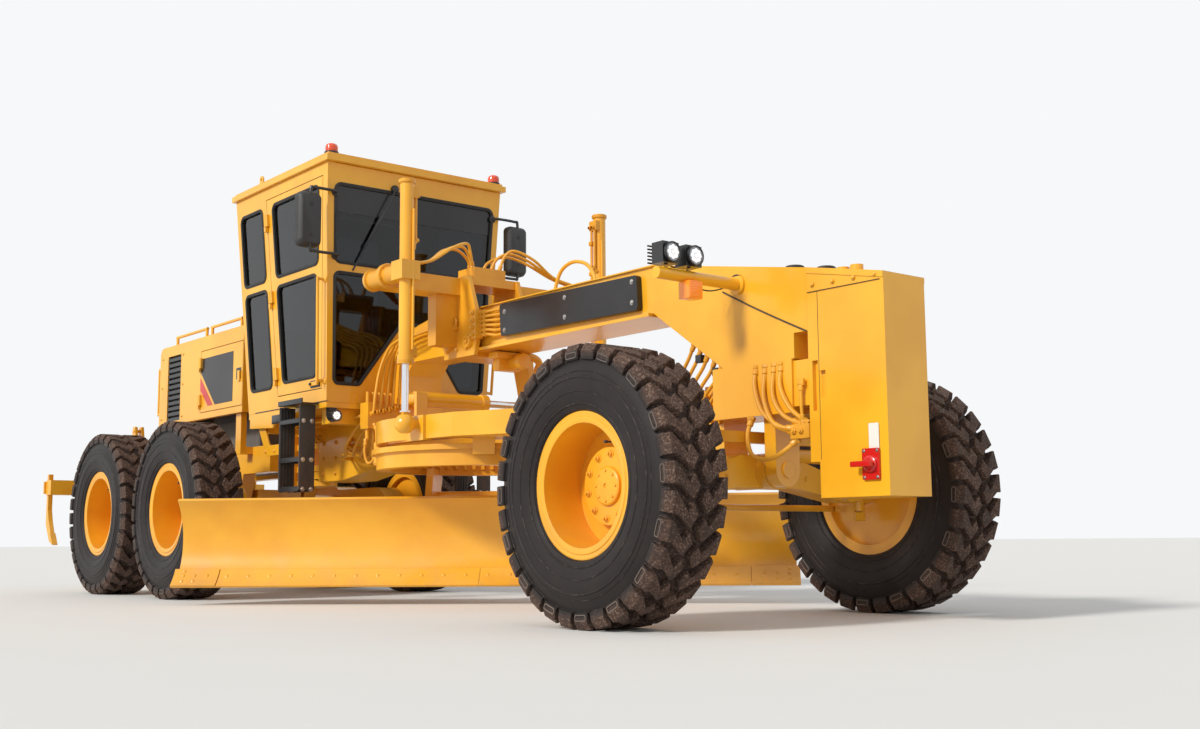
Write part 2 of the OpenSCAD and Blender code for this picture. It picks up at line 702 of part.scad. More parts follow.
module cab_door() {
    in_side_wall() {
        difference() {
            side_plate(door_outline, 0, cab_wall);
            for (w = door_windows) side_plate(rounded(w, window_r), -1, cab_wall + 1);
        }
        // Hinge barrels, clear of the pins, and the latch handle
        on_door_hinge() for (h = hinge_heights) difference() {
            union() {
                rod_z(h, h + hinge_l, 0, 0, 14);
                block([0, -6, h], [36, hinge_out + 0.5, h + hinge_l]);
            }
            rod_z(h - 1, h + hinge_l + 1, 0, 0, door_pin_r + fit);
        }
        block([cab_front_at(130) - post_w - 150, -22, 128], [cab_front_at(130) - post_w - 30, 1, 156]);
    }
}
module door_glass() { in_side_wall() for (w = door_windows) pane(w); }
module cab_door_right() { color(yellow) at_axle() cab_door(); }
module cab_door_left() { color(yellow) at_axle() on_side(true) cab_door(); }
module door_glass_right() { color(tinted) at_axle() door_glass(); }
module door_glass_left() { color(tinted) at_axle() on_side(true) door_glass(); }

seat_x = cab_front_x - 730;
module operator_seat() {
    color(black) at_axle() {
        block([seat_x - 160, -150, floor_z + seat], [seat_x + 160, 150, floor_z + 300]);
        block([seat_x - 240, -250, floor_z + 300], [seat_x + 250, 250, floor_z + 420]);
        translate([seat_x - 230, 0, floor_z + 400]) rotate([0, -10, 0]) block([-60, -230, 0], [50, 230, 620]);
        both_sides() block([seat_x - 210, -310, floor_z + 560], [seat_x + 110, -252, floor_z + 600]);
        both_sides() block([seat_x - 200, -310, floor_z + 380], [seat_x - 150, -249, floor_z + 561]);
    }
}
console_x = cab_front_x - 290;
module control_console() {
    color(black) at_axle() {
        // Pedestal with a raked head, steering wheel and the two banks of levers
        side_plate([[console_x - 110, floor_z + seat], [console_x + 150, floor_z + seat],
            [console_x + 60, floor_z + 640],
                    [console_x - 40, floor_z + 640]], -110, 110);
        translate([console_x - 10, 0, floor_z + 620]) rotate([0, -28, 0]) {
            cylinder(h = 130, r = 26);
            translate([0, 0, 110]) rotate_extrude() translate([200, 0]) circle(r = 16, $fn = 24);
            translate([0, 0, 110]) for (a = [0, 90]) rotate([0, 0, a]) translate([-200, -14, -8])
                cube([400, 28, 16]);
        }
        both_sides() {
            block([console_x - 20, -270, floor_z + 470], [console_x + 60, -109, floor_z + 560]);
            for (k = [0:4]) rod_z(floor_z + 559, floor_z + 800, console_x + 20, -250 + 32 * k, 6);
        }
    }
}

// Rubber-strap ladders below both doors
ladder_x = -3912;
ladder_half = 195;
ladder_y = 812;
module ladders() {
    color(black) at_axle() both_sides() {
        block([ladder_x - ladder_half, -ladder_y + 12, cab_z - 70],
            [ladder_x + ladder_half, -ladder_y + 20, cab_z - 5]);
        for (x = [ladder_x - ladder_half + 10, ladder_x + ladder_half - 120])
            block([x, -ladder_y - 10, 765], [x + 110, -ladder_y + 12, cab_z - 5]);
        for (z = [800, 1050])
            block([ladder_x - ladder_half + 15, -ladder_y - 70, z],
                [ladder_x + ladder_half - 15, -ladder_y - 9, z + 34]);
        for (x = [ladder_x - 160, ladder_x + 120])
            block([x, -ladder_y + 19, cab_z - 60], [x + 40, -cab_half_w + 1 - seat, cab_z - 30]);
        // Platform edge that carries the ladder under the door
        block([ladder_x - ladder_half, -ladder_y + 12, cab_z - 6],
              [ladder_x + ladder_half, -cab_half_w + 1 - seat, cab_z + 4]);
    }
}

// Mirrors on tube arms at the front posts
mirror_y = 985;
module mirrors() {
    color(black) at_axle() both_sides() {
        x = cab_front_x + 100;
        for (z = [2470, 2930]) {
            rod_y(-mirror_y, -cab_half_w - (z - floor_z) * tan(cab_lean) + 60, x, z, 11);
            rod_x(cab_front_at(z - floor_z) + 12 * tan(cab_rake)
                + seat, x + 11, -cab_half_w - (z - floor_z) * tan(cab_lean) + 60, z, 12);
        }
        rod_z(2470, 2930, x, -mirror_y, 11);
        side_plate([[x - 45, 2500], [x + 38, 2500], [x + 45, 2890], [x - 45, 2890]],
            -mirror_y - 105, -mirror_y + 105);
    }
}

// Lamp brackets on the beam's nose, work lamps, direction lamps and the cab's corner lamp
lamp_x = 35;
lamp_z = 1775;
module lamp(x, y, z, side) {
    block([x - 45, y - side / 2, z], [x + 40, y + side / 2, z + side]);
    rod_x(x + 39, x + 52, y, z + side / 2, side / 2 - 8);
    rod_z(z - 20, z + 1, x, y, 10);
}
module work_lamps() {
    color(black) at_axle() both_sides() {
        rod_y(-735, -beam_w / 2 - seat, lamp_x, lamp_z, 32);
        rod_y(-beam_w / 2 - 14 - seat, -beam_w / 2 - seat, lamp_x, lamp_z, 55);
        for (y = [-665, -505]) lamp(lamp_x, y, lamp_z + 50, 110);
        block([lamp_x - 20, -560, lamp_z - 120], [lamp_x + 60, -470, lamp_z - 31]);
        // Round lamp under the cab's front corner
        rod_x(cab_front_x - 30, cab_front_x + 40, -cab_half_w + 60, cab_z - 60, 42);
        block([cab_front_x - 60, -cab_half_w + 30, cab_z - 62],
            [cab_front_x - 10, -cab_half_w + 90, cab_z - seat]);
    }
}

// Hydraulic valve bank in front of the cab and manifold on the saddle
module valve_bank() {
    color(dark_yellow) at_axle() {
        both_sides() {
            block([neck_x - 5, -430, 1230], [neck_x + 110, -beam_w / 2 - seat, 1420]);
            for (k = [0:4]) rod_z(1419, 1500, neck_x + 50, -400 + 48 * k, 14);
            for (k = [0:4]) rod_z(1150, 1231, neck_x + 50, -400 + 48 * k, 16);
        }
        block([-2720, -130, saddle_top_z + seat], [-2520, 130, saddle_top_z + 75]);
    }
}

// Rear frame: two rails, cross members, hitch fork, axle housing and the tail plate
rail_half = rails_out / 2;
rail_top_z = rail_z + rail_h;
tail_top_z = rail_top_z + 170;
axle_x = tandem_x;
fork_x = hitch_x - 260;
tail_t = 110;
module rear_frame() {
    color(yellow) at_axle() difference() {
        union() {
            both_sides() {
                block([frame_tail_x, -rail_half, rail_z], [fork_x, -rail_half + rail_w, rail_top_z]);
                // Saddle between the rail and the axle housing
                side_plate([[axle_x - 260, rail_z + 1], [axle_x - 150, wheel_z], [axle_x + 150, wheel_z],
                            [axle_x + 260, rail_z + 1]], -rail_half, -rail_half + rail_w);
                // Brackets that carry the hood
                for (x = [hood_rear_x + 60, hood_front_x - 200])
                    block([x, -hood_w / 2 + 40, rail_top_z - 60], [x + 100, -rail_half + 1, rail_top_z]);
                for (x = [hood_rear_x + 60, hood_front_x - 200])
                    block([x, -hood_w / 2 + 40, rail_top_z - 60], [x + 100, -hood_w / 2 + 90, hood_z]);
                // Twin tie-down lugs on the tail plate
                for (y = [-600, -540])
                    side_plate([[frame_tail_x - 10, tail_top_z], [frame_tail_x + 100, tail_top_z],
                                [frame_tail_x + 70, tail_top_z + 130], [frame_tail_x + 20, tail_top_z + 130]],
                               y, y + 26);
                rod_y(-606, -508, frame_tail_x + 45, tail_top_z + 90, 16);
                // Ripper hinge lugs, in pairs
                for (y = [-430, -330])
                    side_plate([[frame_tail_x + 1, ripper_hinge_z + 130],
                        [frame_tail_x + 1, ripper_hinge_z - 60],
                                [ripper_hinge_x - 45, ripper_hinge_z - 45],
                                    [ripper_hinge_x - 45, ripper_hinge_z + 45]],
                               y, y + 30);
                rod_y(-440, -290, ripper_hinge_x, ripper_hinge_z, ripper_pin_r);
            }
            block([fork_x - 80, -rail_half + 1, rail_z], [fork_x, rail_half - 1, rail_top_z]);
            // Hitch fork: a plate above and below each lug of the front frame
            for (z = [hitch_low_z, hitch_high_z]) {
                for (plate = [z - run - 50, z + hitch_lug_t + run]) {
                    rod_z(plate, plate + 50, hitch_x, 0, 110);
                    block([fork_x - 1, -110, plate], [hitch_x, 110, plate + 50]);
                }
                rod_z(z - 60, z + hitch_lug_t + 60, hitch_x, 0, hitch_pin_r);
            }
            block([fork_x - 79, -150, hitch_low_z - run - 50],
                  [fork_x, 150, hitch_high_z + hitch_lug_t + run + 50]);
            // Axle housing with its round ends
            rod_y(-tandem_in_y + run, tandem_in_y - run, axle_x, wheel_z, 165);
            rod_y(-tandem_in_y - 85, tandem_in_y + 85, axle_x, wheel_z, tandem_pin_r);
            block([axle_x - 200, -200, wheel_z - 150], [axle_x + 230, 200, wheel_z + 190]);
            // Tail plate with the bumper
            block([frame_tail_x, -610, rail_z - 120], [frame_tail_x + tail_t, 610, tail_top_z + 1]);
            block([frame_tail_x - 1, -300, rail_z + 180], [frame_tail_x + 60, 300, tail_top_z + 80]);
        }
        rod_x(frame_tail_x - 10, frame_tail_x + 40, 0, tail_top_z - 80, 30);
    }
}

engine_x0 = hood_rear_x + 520;
module engine_block() {
    color("dimgray") at_axle() {
        block([engine_x0, -rail_half + rail_w + seat, rail_z + 40],
              [hood_front_x - 120, rail_half - rail_w - seat, hood_z - 20]);
        block([engine_x0 + 60, -210, hood_z - 21], [hood_front_x - 260, 210, hood_top_z - 245]);
    }
}

// Hood shell with a door opening in each side, a louvred stretch at the rear and rails on top
door_x1 = hood_front_x - 12;
door_x0 = door_x1 - engine_door_l;
grille_x0 = hood_rear_x + 190;
grille_x1 = grille_x0 + 300;
grille_z0 = hood_z + 30;
grille_z1 = hood_top_z - 95;
hood_round = 60;
hood_section = [[hood_rear_x, hood_z], [hood_front_x, hood_z], [hood_front_x, hood_top_z],
    [hood_rear_x + hood_round, hood_top_z],
                [hood_rear_x + 18, hood_top_z - 18], [hood_rear_x, hood_top_z - hood_round]];
module hood() {
    half = hood_w / 2;
    inner = grown(hood_section, -hood_t);
    color(yellow) at_axle() {
        difference() {
            side_plate(hood_section, -half, half);
            side_plate(inner, -half + hood_t, half - hood_t);
            block([hood_rear_x + 60, -half + hood_t + 20, hood_z - 1],
                [hood_front_x - 60, half - hood_t - 20, hood_z + hood_t + 1]);
            both_sides() {
                block([door_x0 - door_gap, -half - 1, engine_door_z - door_gap],
                      [hood_front_x - hood_t - 20, -half + hood_t + 1,
                          engine_door_z + engine_door_h + door_gap]);
                block([hood_front_x - hood_t - 21, -half - 1, engine_door_z - door_gap],
                      [door_x1 + door_gap, -half + hood_t + 1, engine_door_z + engine_door_h + door_gap]);
                block([grille_x0, -half - 1, grille_z0], [grille_x1, -half + hood_t + 1, grille_z1]);
            }
            block([hood_rear_x - 1, -half + 90, hood_z + 60],
                [hood_rear_x + hood_t + 1, half - 90, hood_top_z - 110]);
        }
        both_sides() {
            // Two rails on the roof's edge
            for (x = [[hood_rear_x + 210, hood_rear_x + 900], [hood_rear_x + 990, hood_front_x - 180]]) {
                rod_x(x[0], x[1], -half + 70, hood_top_z + 91, 14);
                for (e = [x[0] + 14, x[1] - 14]) rod_z(hood_top_z - 1, hood_top_z + 92, e, -half + 70, 14);
            }
            // Grab bar on the rear corner
            for (z = [grille_z0 + 90, grille_z1 - 90])
                rod_x(hood_rear_x - 90, hood_rear_x + 1, -half + 30, z, 12);
            rod_z(grille_z0 + 78, grille_z1 - 78, hood_rear_x - 90, -half + 30, 12);
            // Hinge pins of the engine doors on lugs
            for (z = [engine_door_z + 60, engine_door_z + engine_door_h - 150]) {
                rod_z(z - 30, z + 96, door_x0, -half - 14, engine_hinge_r);
                block([door_x0 - 22, -half - 24, z - 30], [door_x0 + 8, -half - 4, z - seat]);
                block([door_x0 - 22, -half - 5, z - 30], [door_x0 - door_gap, -half + 1, z - seat]);
            }
        }
    }
}
module engine_door() {
    half = hood_w / 2;
    difference() {
        union() {
            block([door_x0, -half, engine_door_z], [door_x1, -half + hood_t, engine_door_z + engine_door_h]);
            // Latch
            block([door_x1 - 70, -half - 14, engine_door_z + 200],
                [door_x1 - 30, -half + 1, engine_door_z + 290]);
            for (z = [engine_door_z + 60, engine_door_z + engine_door_h - 150]) {
                rod_z(z, z + 90, door_x0, -half - 14, 13);
                block([door_x0, -half - 22, z], [door_x0 + 30, -half + 1, z + 90]);
            }
        }
        for (z = [engine_door_z + 60, engine_door_z + engine_door_h - 150])
            rod_z(z - 1, z + 91, door_x0, -half - 14, engine_hinge_r + fit);
    }
}
module engine_door_right() { color(yellow) at_axle() engine_door(); }
module engine_door_left() { color(yellow) at_axle() on_side(true) engine_door(); }

louvre_pitch = 50;
module louvres() {
    half = hood_w / 2;
    color(black) at_axle() {
        both_sides() {
            for (z = [grille_z0 + seat : louvre_pitch : grille_z1 - 40])
                side_plate([[grille_x0 + seat, z], [grille_x1 - seat, z], [grille_x1 - seat, z + 30],
                    [grille_x0 + seat, z + 30]],
                           -half + 4, -half + 12);
            for (x = [grille_x0 + seat, grille_x1 - 14 - seat])
                block([x, -half + 11, grille_z0 + seat], [x + 14, -half + hood_t, grille_z1 - seat]);
        }
        // Radiator grille at the rear: frame with level bars
        for (y = [-half + 90 + seat, half - 110 - seat, -10])
            block([hood_rear_x + 12, y, hood_z + 60 + seat],
                [hood_rear_x + hood_t, y + 20, hood_top_z - 110 - seat]);
        for (z = [hood_z + 80 : louvre_pitch : hood_top_z - 150])
            block([hood_rear_x + 3, -half + 90 + seat, z], [hood_rear_x + 13, half - 90 - seat, z + 26]);
    }
}

module exhaust_stack() {
    x = hood_front_x - 900;
    color(black) at_axle() {
        rod_z(hood_top_z + seat, hood_top_z + 20, x, 0, 105);
        difference() {
            union() {
                rod_z(hood_top_z + 19, hood_top_z + 300, x, 0, 85);
                rod_z(hood_top_z + 299, hood_top_z + 500, x, 0, 55);
            }
            rod_z(hood_top_z + 320, hood_top_z + 501, x, 0, 49);
        }
    }
}

// Tandem case: round ends at both axles, waist with the pivot bore, wheel spindles outboard
module tandem_case() {
    y0 = -tandem_in_y - tandem_w;
    difference() {
        union() {
            for (x = [-middle_back, -rear_back]) {
                rod_y(y0, -tandem_in_y, x, wheel_z, tandem_end_r);
                rod_y(y0 - 30, y0 + 1, x, wheel_z, 130);
                rod_y(-wheel_y - disc_inset * -1 - 38, y0 - 29, x, wheel_z, spindle_r);
            }
            block([-rear_back, y0, wheel_z - tandem_end_r + 15],
                [-middle_back, -tandem_in_y, wheel_z + tandem_end_r]);
            rod_y(y0 - 12, -tandem_in_y, axle_x, wheel_z + 10, 230);
        }
        rod_y(-tandem_in_y - 90, -tandem_in_y + 1, axle_x, wheel_z, tandem_pin_r + fit);
    }
}
module tandem_right() { color(yellow) at_axle() tandem_case(); }
module tandem_left() { color(yellow) at_axle() on_side(true) tandem_case(); }

// Front axle: arched beam on the oscillation pin, with a lug for each lean pivot
lug_r = 68;
lug_half = 45;
ear_t = 45;
module front_axle() {
    half = axle_beam_w / 2;
    // The beam ends inside the yokes' ears, which turn about the lean pins
    end_y = lean_y - lug_r - run - 3;
    color(yellow) at_axle() difference() {
        union() {
            face_plate([[-end_y, lean_z - 60], [-240, axle_pin_z - 90], [240, axle_pin_z - 90],
                        [end_y, lean_z - 60], [end_y, lean_z + 60], [190, axle_pin_z + 82],
                        [-190, axle_pin_z + 82], [-end_y, lean_z + 60]], -half, half);
            rod_x(-lug_gap + run, lug_gap - run, 0, axle_pin_z, 95);
            both_sides() {
                rod_x(-lug_half, lug_half, -lean_y, lean_z, lug_r);
                block([-lug_half, -lean_y, lean_z - 60], [lug_half, -end_y + 1, lean_z + 60]);
            }
            // Barrel of the lean cylinder on the beam
            rod_y(60, 480, 66, lean_bar_z - 88, 38);
            block([46, 60, axle_pin_z + 60], [78, 120, lean_bar_z - 88]);
        }
        rod_x(-lug_gap, lug_gap, 0, axle_pin_z, axle_pin_r + fit);
        both_sides() rod_x(-lug_half - 1, lug_half + 1, -lean_y, lean_z, lean_pin_r + fit);
    }
}

// Lean bar ahead of the yokes, seated against their top lugs
yoke_top_y = 700;
lean_bar_x0 = 40 + seat;
module lean_bar() {
    color(yellow) at_axle() {
        block([lean_bar_x0, -yoke_top_y, lean_bar_z - 30], [lean_bar_x0 + 46, yoke_top_y, lean_bar_z + 30]);
        both_sides() {
            rod_x(lean_bar_x0, lean_bar_x0 + 46, -yoke_top_y, lean_bar_z, 38);
            rod_x(lean_bar_x0 + 45, lean_bar_x0 + 58, -yoke_top_y, lean_bar_z, 20);
        }
    }
}

// Lean yoke: ears on the lean pin, plate up to the lean bar, bosses above and below the knuckle
yoke_plate_y = 735;
knuckle_low_z = 575;
// Steering arm's underside and thickness
arm_z = knuckle_low_z + 2;
arm_t_z = 34;
knuckle_high_z = 795;
module lean_yoke() {
    difference() {
        union() {
            for (s = [-1, 1]) mirror([s < 0 ? 1 : 0, 0, 0]) {
                rod_x(lug_half + run, lug_half + run + ear_t, -lean_y, lean_z, lug_r);
                block([lug_half + run, -yoke_plate_y, lean_z - 62],
                    [lug_half + run + ear_t, -lean_y, lean_z + 62]);
            }
            rod_x(-lug_half - run - 1, lug_half + run + 1, -lean_y, lean_z, lean_pin_r);
            // Plate outboard of the axle lug, from the lower boss to the lean bar
            block([-lug_half - run - ear_t, -yoke_plate_y - 8, lean_z - 62],
                [lug_half + run + ear_t, -yoke_plate_y + 1, lean_z + 62]);
            difference() {
                block([-40, -yoke_plate_y - 8, 520], [40, -yoke_plate_y + 3, lean_bar_z + 10]);
                // Room for the steering arm at full lock
                block([-41, -yoke_plate_y - 9, arm_z - run], [-12, -yoke_plate_y + 4, arm_z + arm_t_z + run]);
            }
            rod_x(-40, 40, -yoke_top_y - 2, lean_bar_z, 40);
            block([-40, -yoke_plate_y + 1, lean_z + 90], [40, -yoke_top_y + 20, lean_bar_z]);
            for (z = [knuckle_low_z - run - 50, knuckle_high_z + run]) {
                rod_z(z, z + 50, 0, -kingpin_y, 52);
                block([-52, -kingpin_y, z], [52, -yoke_plate_y, z + 50]);
            }
        }
        rod_z(500, 900, 0, -kingpin_y, kingpin_r + fit);
    }
}
module lean_yoke_right() { color(yellow) at_axle() lean_yoke(); }
module lean_yoke_left() { color(yellow) at_axle() on_side(true) lean_yoke(); }

module knuckle() {
    rod_z(knuckle_low_z, knuckle_high_z, 0, -kingpin_y, 50);
    rod_z(knuckle_low_z - run - 50, knuckle_high_z + run + 50, 0, -kingpin_y, kingpin_r);
    // Spindle to the wheel and the steering arm to the rear
    rod_y(-wheel_y + disc_inset - 38, -kingpin_y, 0, wheel_z, spindle_r);
    rod_y(-kingpin_y - 76, -kingpin_y, 0, wheel_z, 72);
    block([-steer_arm, -kingpin_y - 22, arm_z], [0, -kingpin_y + 22, arm_z + arm_t_z]);
    rod_z(arm_z, arm_z + arm_t_z, -steer_arm, -kingpin_y, 28);
}
module knuckle_right() { color(dark_yellow) at_axle() knuckle(); }
module knuckle_left() { color(dark_yellow) at_axle() on_side(true) knuckle(); }

module tie_rod() {
    x = -steer_arm - 28 - seat - tie_rod_d / 2;
    color(yellow) at_axle() {
        rod_y(-kingpin_y, kingpin_y, x, arm_z + 17, tie_rod_d / 2);
        both_sides() block([x - tie_rod_d / 2, -kingpin_y - 20, arm_z + 1],
            [x + tie_rod_d / 2, -kingpin_y + 26, arm_z + 33]);
    }
}

module drawbar_ball() {
    color(steel) at_axle() translate([ball_x, 0, ball_z]) sphere(r = ball_r, $fn = 64);
}

// Drawbar: ring-shaped rear over the circle, two rails that meet at the ball
shoe_half = 70;
shoe_out = circle_r + 35;
shoe_z = circle_top_z - circle_flange_h - 36;
module drawbar() {
    out = circle_r - 25;
    in = out - drawbar_rail_w;
    color(yellow) at_axle() difference() {
        union() {
            difference() {
                union() {
                    rod_z(drawbar_z, drawbar_top_z, circle_x, 0, out);
                    plan_plate([[circle_x, -out], [circle_x + 620, -out + 70], [ball_x - 420, -95],
                        [ball_x - 420, 95],
                                [circle_x + 620, out - 70], [circle_x, out]], drawbar_z, drawbar_top_z);
                }
                difference() {
                    union() {
                        rod_z(drawbar_z - 1, drawbar_top_z + 1, circle_x, 0, in);
                        plan_plate([[circle_x, -in], [circle_x + 560, -in + 50], [ball_x - 900, -60],
                            [ball_x - 900, 60],
                                    [circle_x + 560, in - 50], [circle_x, in]],
                                        drawbar_z - 1, drawbar_top_z + 1);
                    }
                    // Cross member that carries the circle drive
                    block([circle_x + 520, -out, drawbar_z - 2], [circle_x + 760, out, drawbar_top_z + 2]);
                }
            }
            block([ball_x - 470, -60, ball_z - 60], [ball_x - 200, 60, ball_z + 60]);
            rod_x(ball_x - 210, ball_x - 40, 0, ball_z, 46);
            // Guide shoes round the circle's top flange
            for (a = [35, 145, 215, 325]) translate([circle_x, 0, 0]) rotate([0, 0, a]) {
                block([out - 90, -shoe_half, circle_top_z + seat], [out - 20, shoe_half, drawbar_z + 1]);
                block([out - 30, -shoe_half, drawbar_z], [shoe_out, shoe_half, drawbar_z + 40]);
                block([circle_r + run, -shoe_half, shoe_z], [shoe_out, shoe_half, drawbar_z + 1]);
                block([circle_r - circle_flange_w + run, -shoe_half, shoe_z],
                      [shoe_out, shoe_half, circle_top_z - circle_flange_h - seat]);
            }
            // Gearbox and motor of the circle drive
            rod_z(drawbar_top_z - 1, drawbar_top_z + 110, circle_x + 640, 0, 110);
            rod_z(drawbar_top_z + 109, drawbar_top_z + 210, circle_x + 640, 0, 65);
            // Brackets with the ball studs of the lift rods, each in its round cap
            both_sides() {
                block([lift_x - 340, -out + 20, drawbar_z - 10], [lift_x + 90, -out + 90, drawbar_top_z]);
                rod_y(-lift_y, -out + 91, lift_x, lift_eye_z, 34);
                intersection() {
                    translate([lift_x, -lift_y, lift_eye_z]) sphere(r = lift_cap_r);
                    block([lift_x - lift_cap_r, -lift_y - 62, lift_eye_z - 62],
                          [lift_x + lift_cap_r, -lift_y + 58, lift_eye_z + lift_cap_r]);
                }
            }
            // Lugs of the centreshift barrel
            for (x = [shift_x - 95, shift_x + 65])
                block([x, -shift_hinge_y - 40, drawbar_top_z - 1],
                    [x + 30, -shift_hinge_y + 40, shift_z + 32]);
            rod_x(shift_x - 95, shift_x + 95, -shift_hinge_y, shift_z, 20);
        }
        translate([ball_x, 0, ball_z]) sphere(r = ball_r + seat, $fn = 64);
    }
}

// Turning circle: toothed ring with the two arms that hold the blade.
// In the blade's own frame x points ahead of the moldboard and y along it.
module in_blade_frame() {
    at_axle() translate([circle_x, 0, 0]) rotate([0, 0, -blade_angle]) children();
}
arm_y = arm_spacing / 2;
tip_x = -tip_back;
module turning_circle() {
    in = circle_r - circle_ring_w;
    color(yellow) in_blade_frame() difference() {
        union() {
            difference() {
                union() {
                    rod_z(circle_z, circle_top_z - 1, 0, 0, circle_r - circle_flange_w);
                    rod_z(circle_top_z - circle_flange_h, circle_top_z, 0, 0, circle_r);
                }
                rod_z(circle_z - 1, circle_top_z + 1, 0, 0, in);
            }
            for (k = [0:circle_teeth - 1]) rotate([0, 0, k * 360 / circle_teeth])
                plan_plate([[in + 1, -17], [in + 1, 17], [in - 30, 9], [in - 30, -9]],
                           circle_z + 40, circle_z + 110);
            both_sides() side_plate([[-600, circle_z + 40], [-600, circle_z - 30], [-470, 620],
                [tip_x - 50, tip_z - 50],
                                     [tip_x + 42, tip_z - 50], [tip_x + 42, tip_z + 60], [-255, 720],
                                     [-300, circle_z - 20], [-330, circle_z + 40]], -arm_y, -arm_y + arm_t);
            rod_y(-arm_y + arm_t - 1, arm_y - arm_t + 1, -470, 720, 60);
        }
        both_sides() rod_y(-arm_y - 1, -arm_y + arm_t + 1, tip_x, tip_z, tip_pin_r + fit);
    }
}

// Moldboard section: arc about a centre ahead of it. The cutting edge lies on its lower lip
// and reaches below it; its foot is at edge_z.
edge_drop = 6;
edge_span = edge_h / blade_arc_r * 180 / PI;
arc_x = blade_arc_r * cos(blade_half_arc);
arc_z = edge_z + (blade_arc_r - seat) * sin(blade_half_arc + edge_drop);
back_x = arc_x - blade_arc_r - blade_t;
rail_l = 2460;
rail_out = 46;
// Height of each slide rail over the arc's centre, and how far it reaches into the back
slide_rails = [[-120, 22], [150, 46]];
slide_rail_h = 34;
module arc_strip(r_in, r_out, a0, a1, y0, y1) {
    steps = 12;
    translate([0, y1, 0]) rotate([90, 0, 0]) linear_extrude(y1 - y0) intersection() {
        difference() {
            translate([arc_x, arc_z]) circle(r = r_out, $fn = 180);
            translate([arc_x, arc_z]) circle(r = r_in, $fn = 180);
        }
        translate([arc_x, arc_z]) polygon(concat([[0, 0]], [for (k = [0:steps])
            2 * r_out * [-cos(a0 + (a1 - a0) * k / steps), sin(a0 + (a1 - a0) * k / steps)]]));
    }
}
module moldboard() {
    color(yellow) in_blade_frame() translate([0, blade_shift, 0]) {
        arc_strip(blade_arc_r, blade_arc_r + blade_t, -blade_half_arc, blade_half_arc, -blade_l / 2,
            blade_l / 2);
        // Slide rails on the back, closed by a stop at each end
        for (r = slide_rails)
            block([back_x - rail_out, -rail_l / 2, arc_z + r[0]],
                  [back_x + r[1], rail_l / 2, arc_z + r[0] + slide_rail_h]);
        both_sides() block([back_x - 20, -rail_l / 2 - 30, arc_z - 130],
            [back_x + 18, -rail_l / 2 + 1, arc_z + 190]);
    }
}
end_bit_w = 300;
module cutting_edges() {
    low = -blade_half_arc - edge_drop;
    high = low + edge_span;
    // Left end of each piece along the blade, its length and its thickness
    pieces = [[-blade_l / 2 - 20, end_bit_w + 20, edge_t + 6],
        [-blade_l / 2 + end_bit_w + 2, blade_l / 2 - end_bit_w - 3, edge_t],
              [1, blade_l / 2 - end_bit_w - 3, edge_t],
                  [blade_l / 2 - end_bit_w, end_bit_w + 20, edge_t + 6]];
    color(yellow) in_blade_frame() translate([0, blade_shift, 0]) for (p = pieces)
        arc_strip(blade_arc_r - p[2] - seat, blade_arc_r - seat, low, high, p[0], p[0] + p[1]);
}

// Tip bracket: swings on the circle's arms and grips the moldboard's rails
module tip_bracket() {
    color(yellow) in_blade_frame() {
        rod_y(-arm_y - 2, arm_y + 2, tip_x, tip_z, tip_pin_r);
        both_sides() {
            side_plate([[tip_x - 45, tip_z - 45], [back_x - 52, arc_z - 150], [back_x - 52, arc_z + 215],
                        [tip_x - 20, arc_z + 190], [tip_x - 45, tip_z + 45]],
                            -arm_y + arm_t + run, -arm_y + arm_t + run + 40);
            // Shoes round the slide rails
            y0 = -arm_y + arm_t + run;
            for (r = slide_rails) {
                z = arc_z + r[0];
                block([back_x - 82, y0, z - 26], [back_x - 26, y0 + 165, z - seat]);
                block([back_x - 82, y0, z + slide_rail_h + seat],
                    [back_x - 26, y0 + 165, z + slide_rail_h + 26]);
                block([back_x - 82, y0, z - 26], [back_x - rail_out - seat, y0 + 165, z + slide_rail_h + 26]);
            }
        }
    }
}

// Lift cylinders: barrel in its clamp on the hub, rod down to the drawbar stud
bore_r = lift_d / 2 - 10;
module lift_barrel() {
    difference() {
        union() {
            rod_z(lift_low_z, lift_top_z, lift_x, -lift_y, lift_d / 2);
            rod_z(lift_low_z, lift_low_z + 60, lift_x, -lift_y, lift_d / 2 + 8);
            rod_z(lift_top_z - 30, lift_top_z, lift_x, -lift_y, lift_d / 2 + 3);
            block([lift_x - yoke_half, -lift_y - 68, trunnion_z - 62],
                [lift_x + 60, -lift_y + 68, trunnion_z + 62]);
            // Feed pipe along the barrel
            rod_z(lift_low_z + 90, lift_top_z - 200, lift_x + 52, -lift_y + 20, 9);
        }
        rod_z(lift_low_z - 1, lift_top_z - 40, lift_x, -lift_y, lift_rod_d / 2 + fit);
    }
}
// The rod stands with its collar a little above its cap, where the linkage is open
module lift_rod() {
    low = lift_eye_z + lift_cap_r + run + 2;
    rod_z(low, lift_low_z + 720, lift_x, -lift_y, lift_rod_d / 2);
    rod_z(low, low + 8, lift_x, -lift_y, lift_rod_d / 2 + 12);
}
module lift_barrel_right() { color(yellow) at_axle() lift_barrel(); }
module lift_barrel_left() { color(yellow) at_axle() on_side(true) lift_barrel(); }
module lift_rod_right() { color(steel) at_axle() lift_rod(); }
module lift_rod_left() { color(steel) at_axle() on_side(true) lift_rod(); }

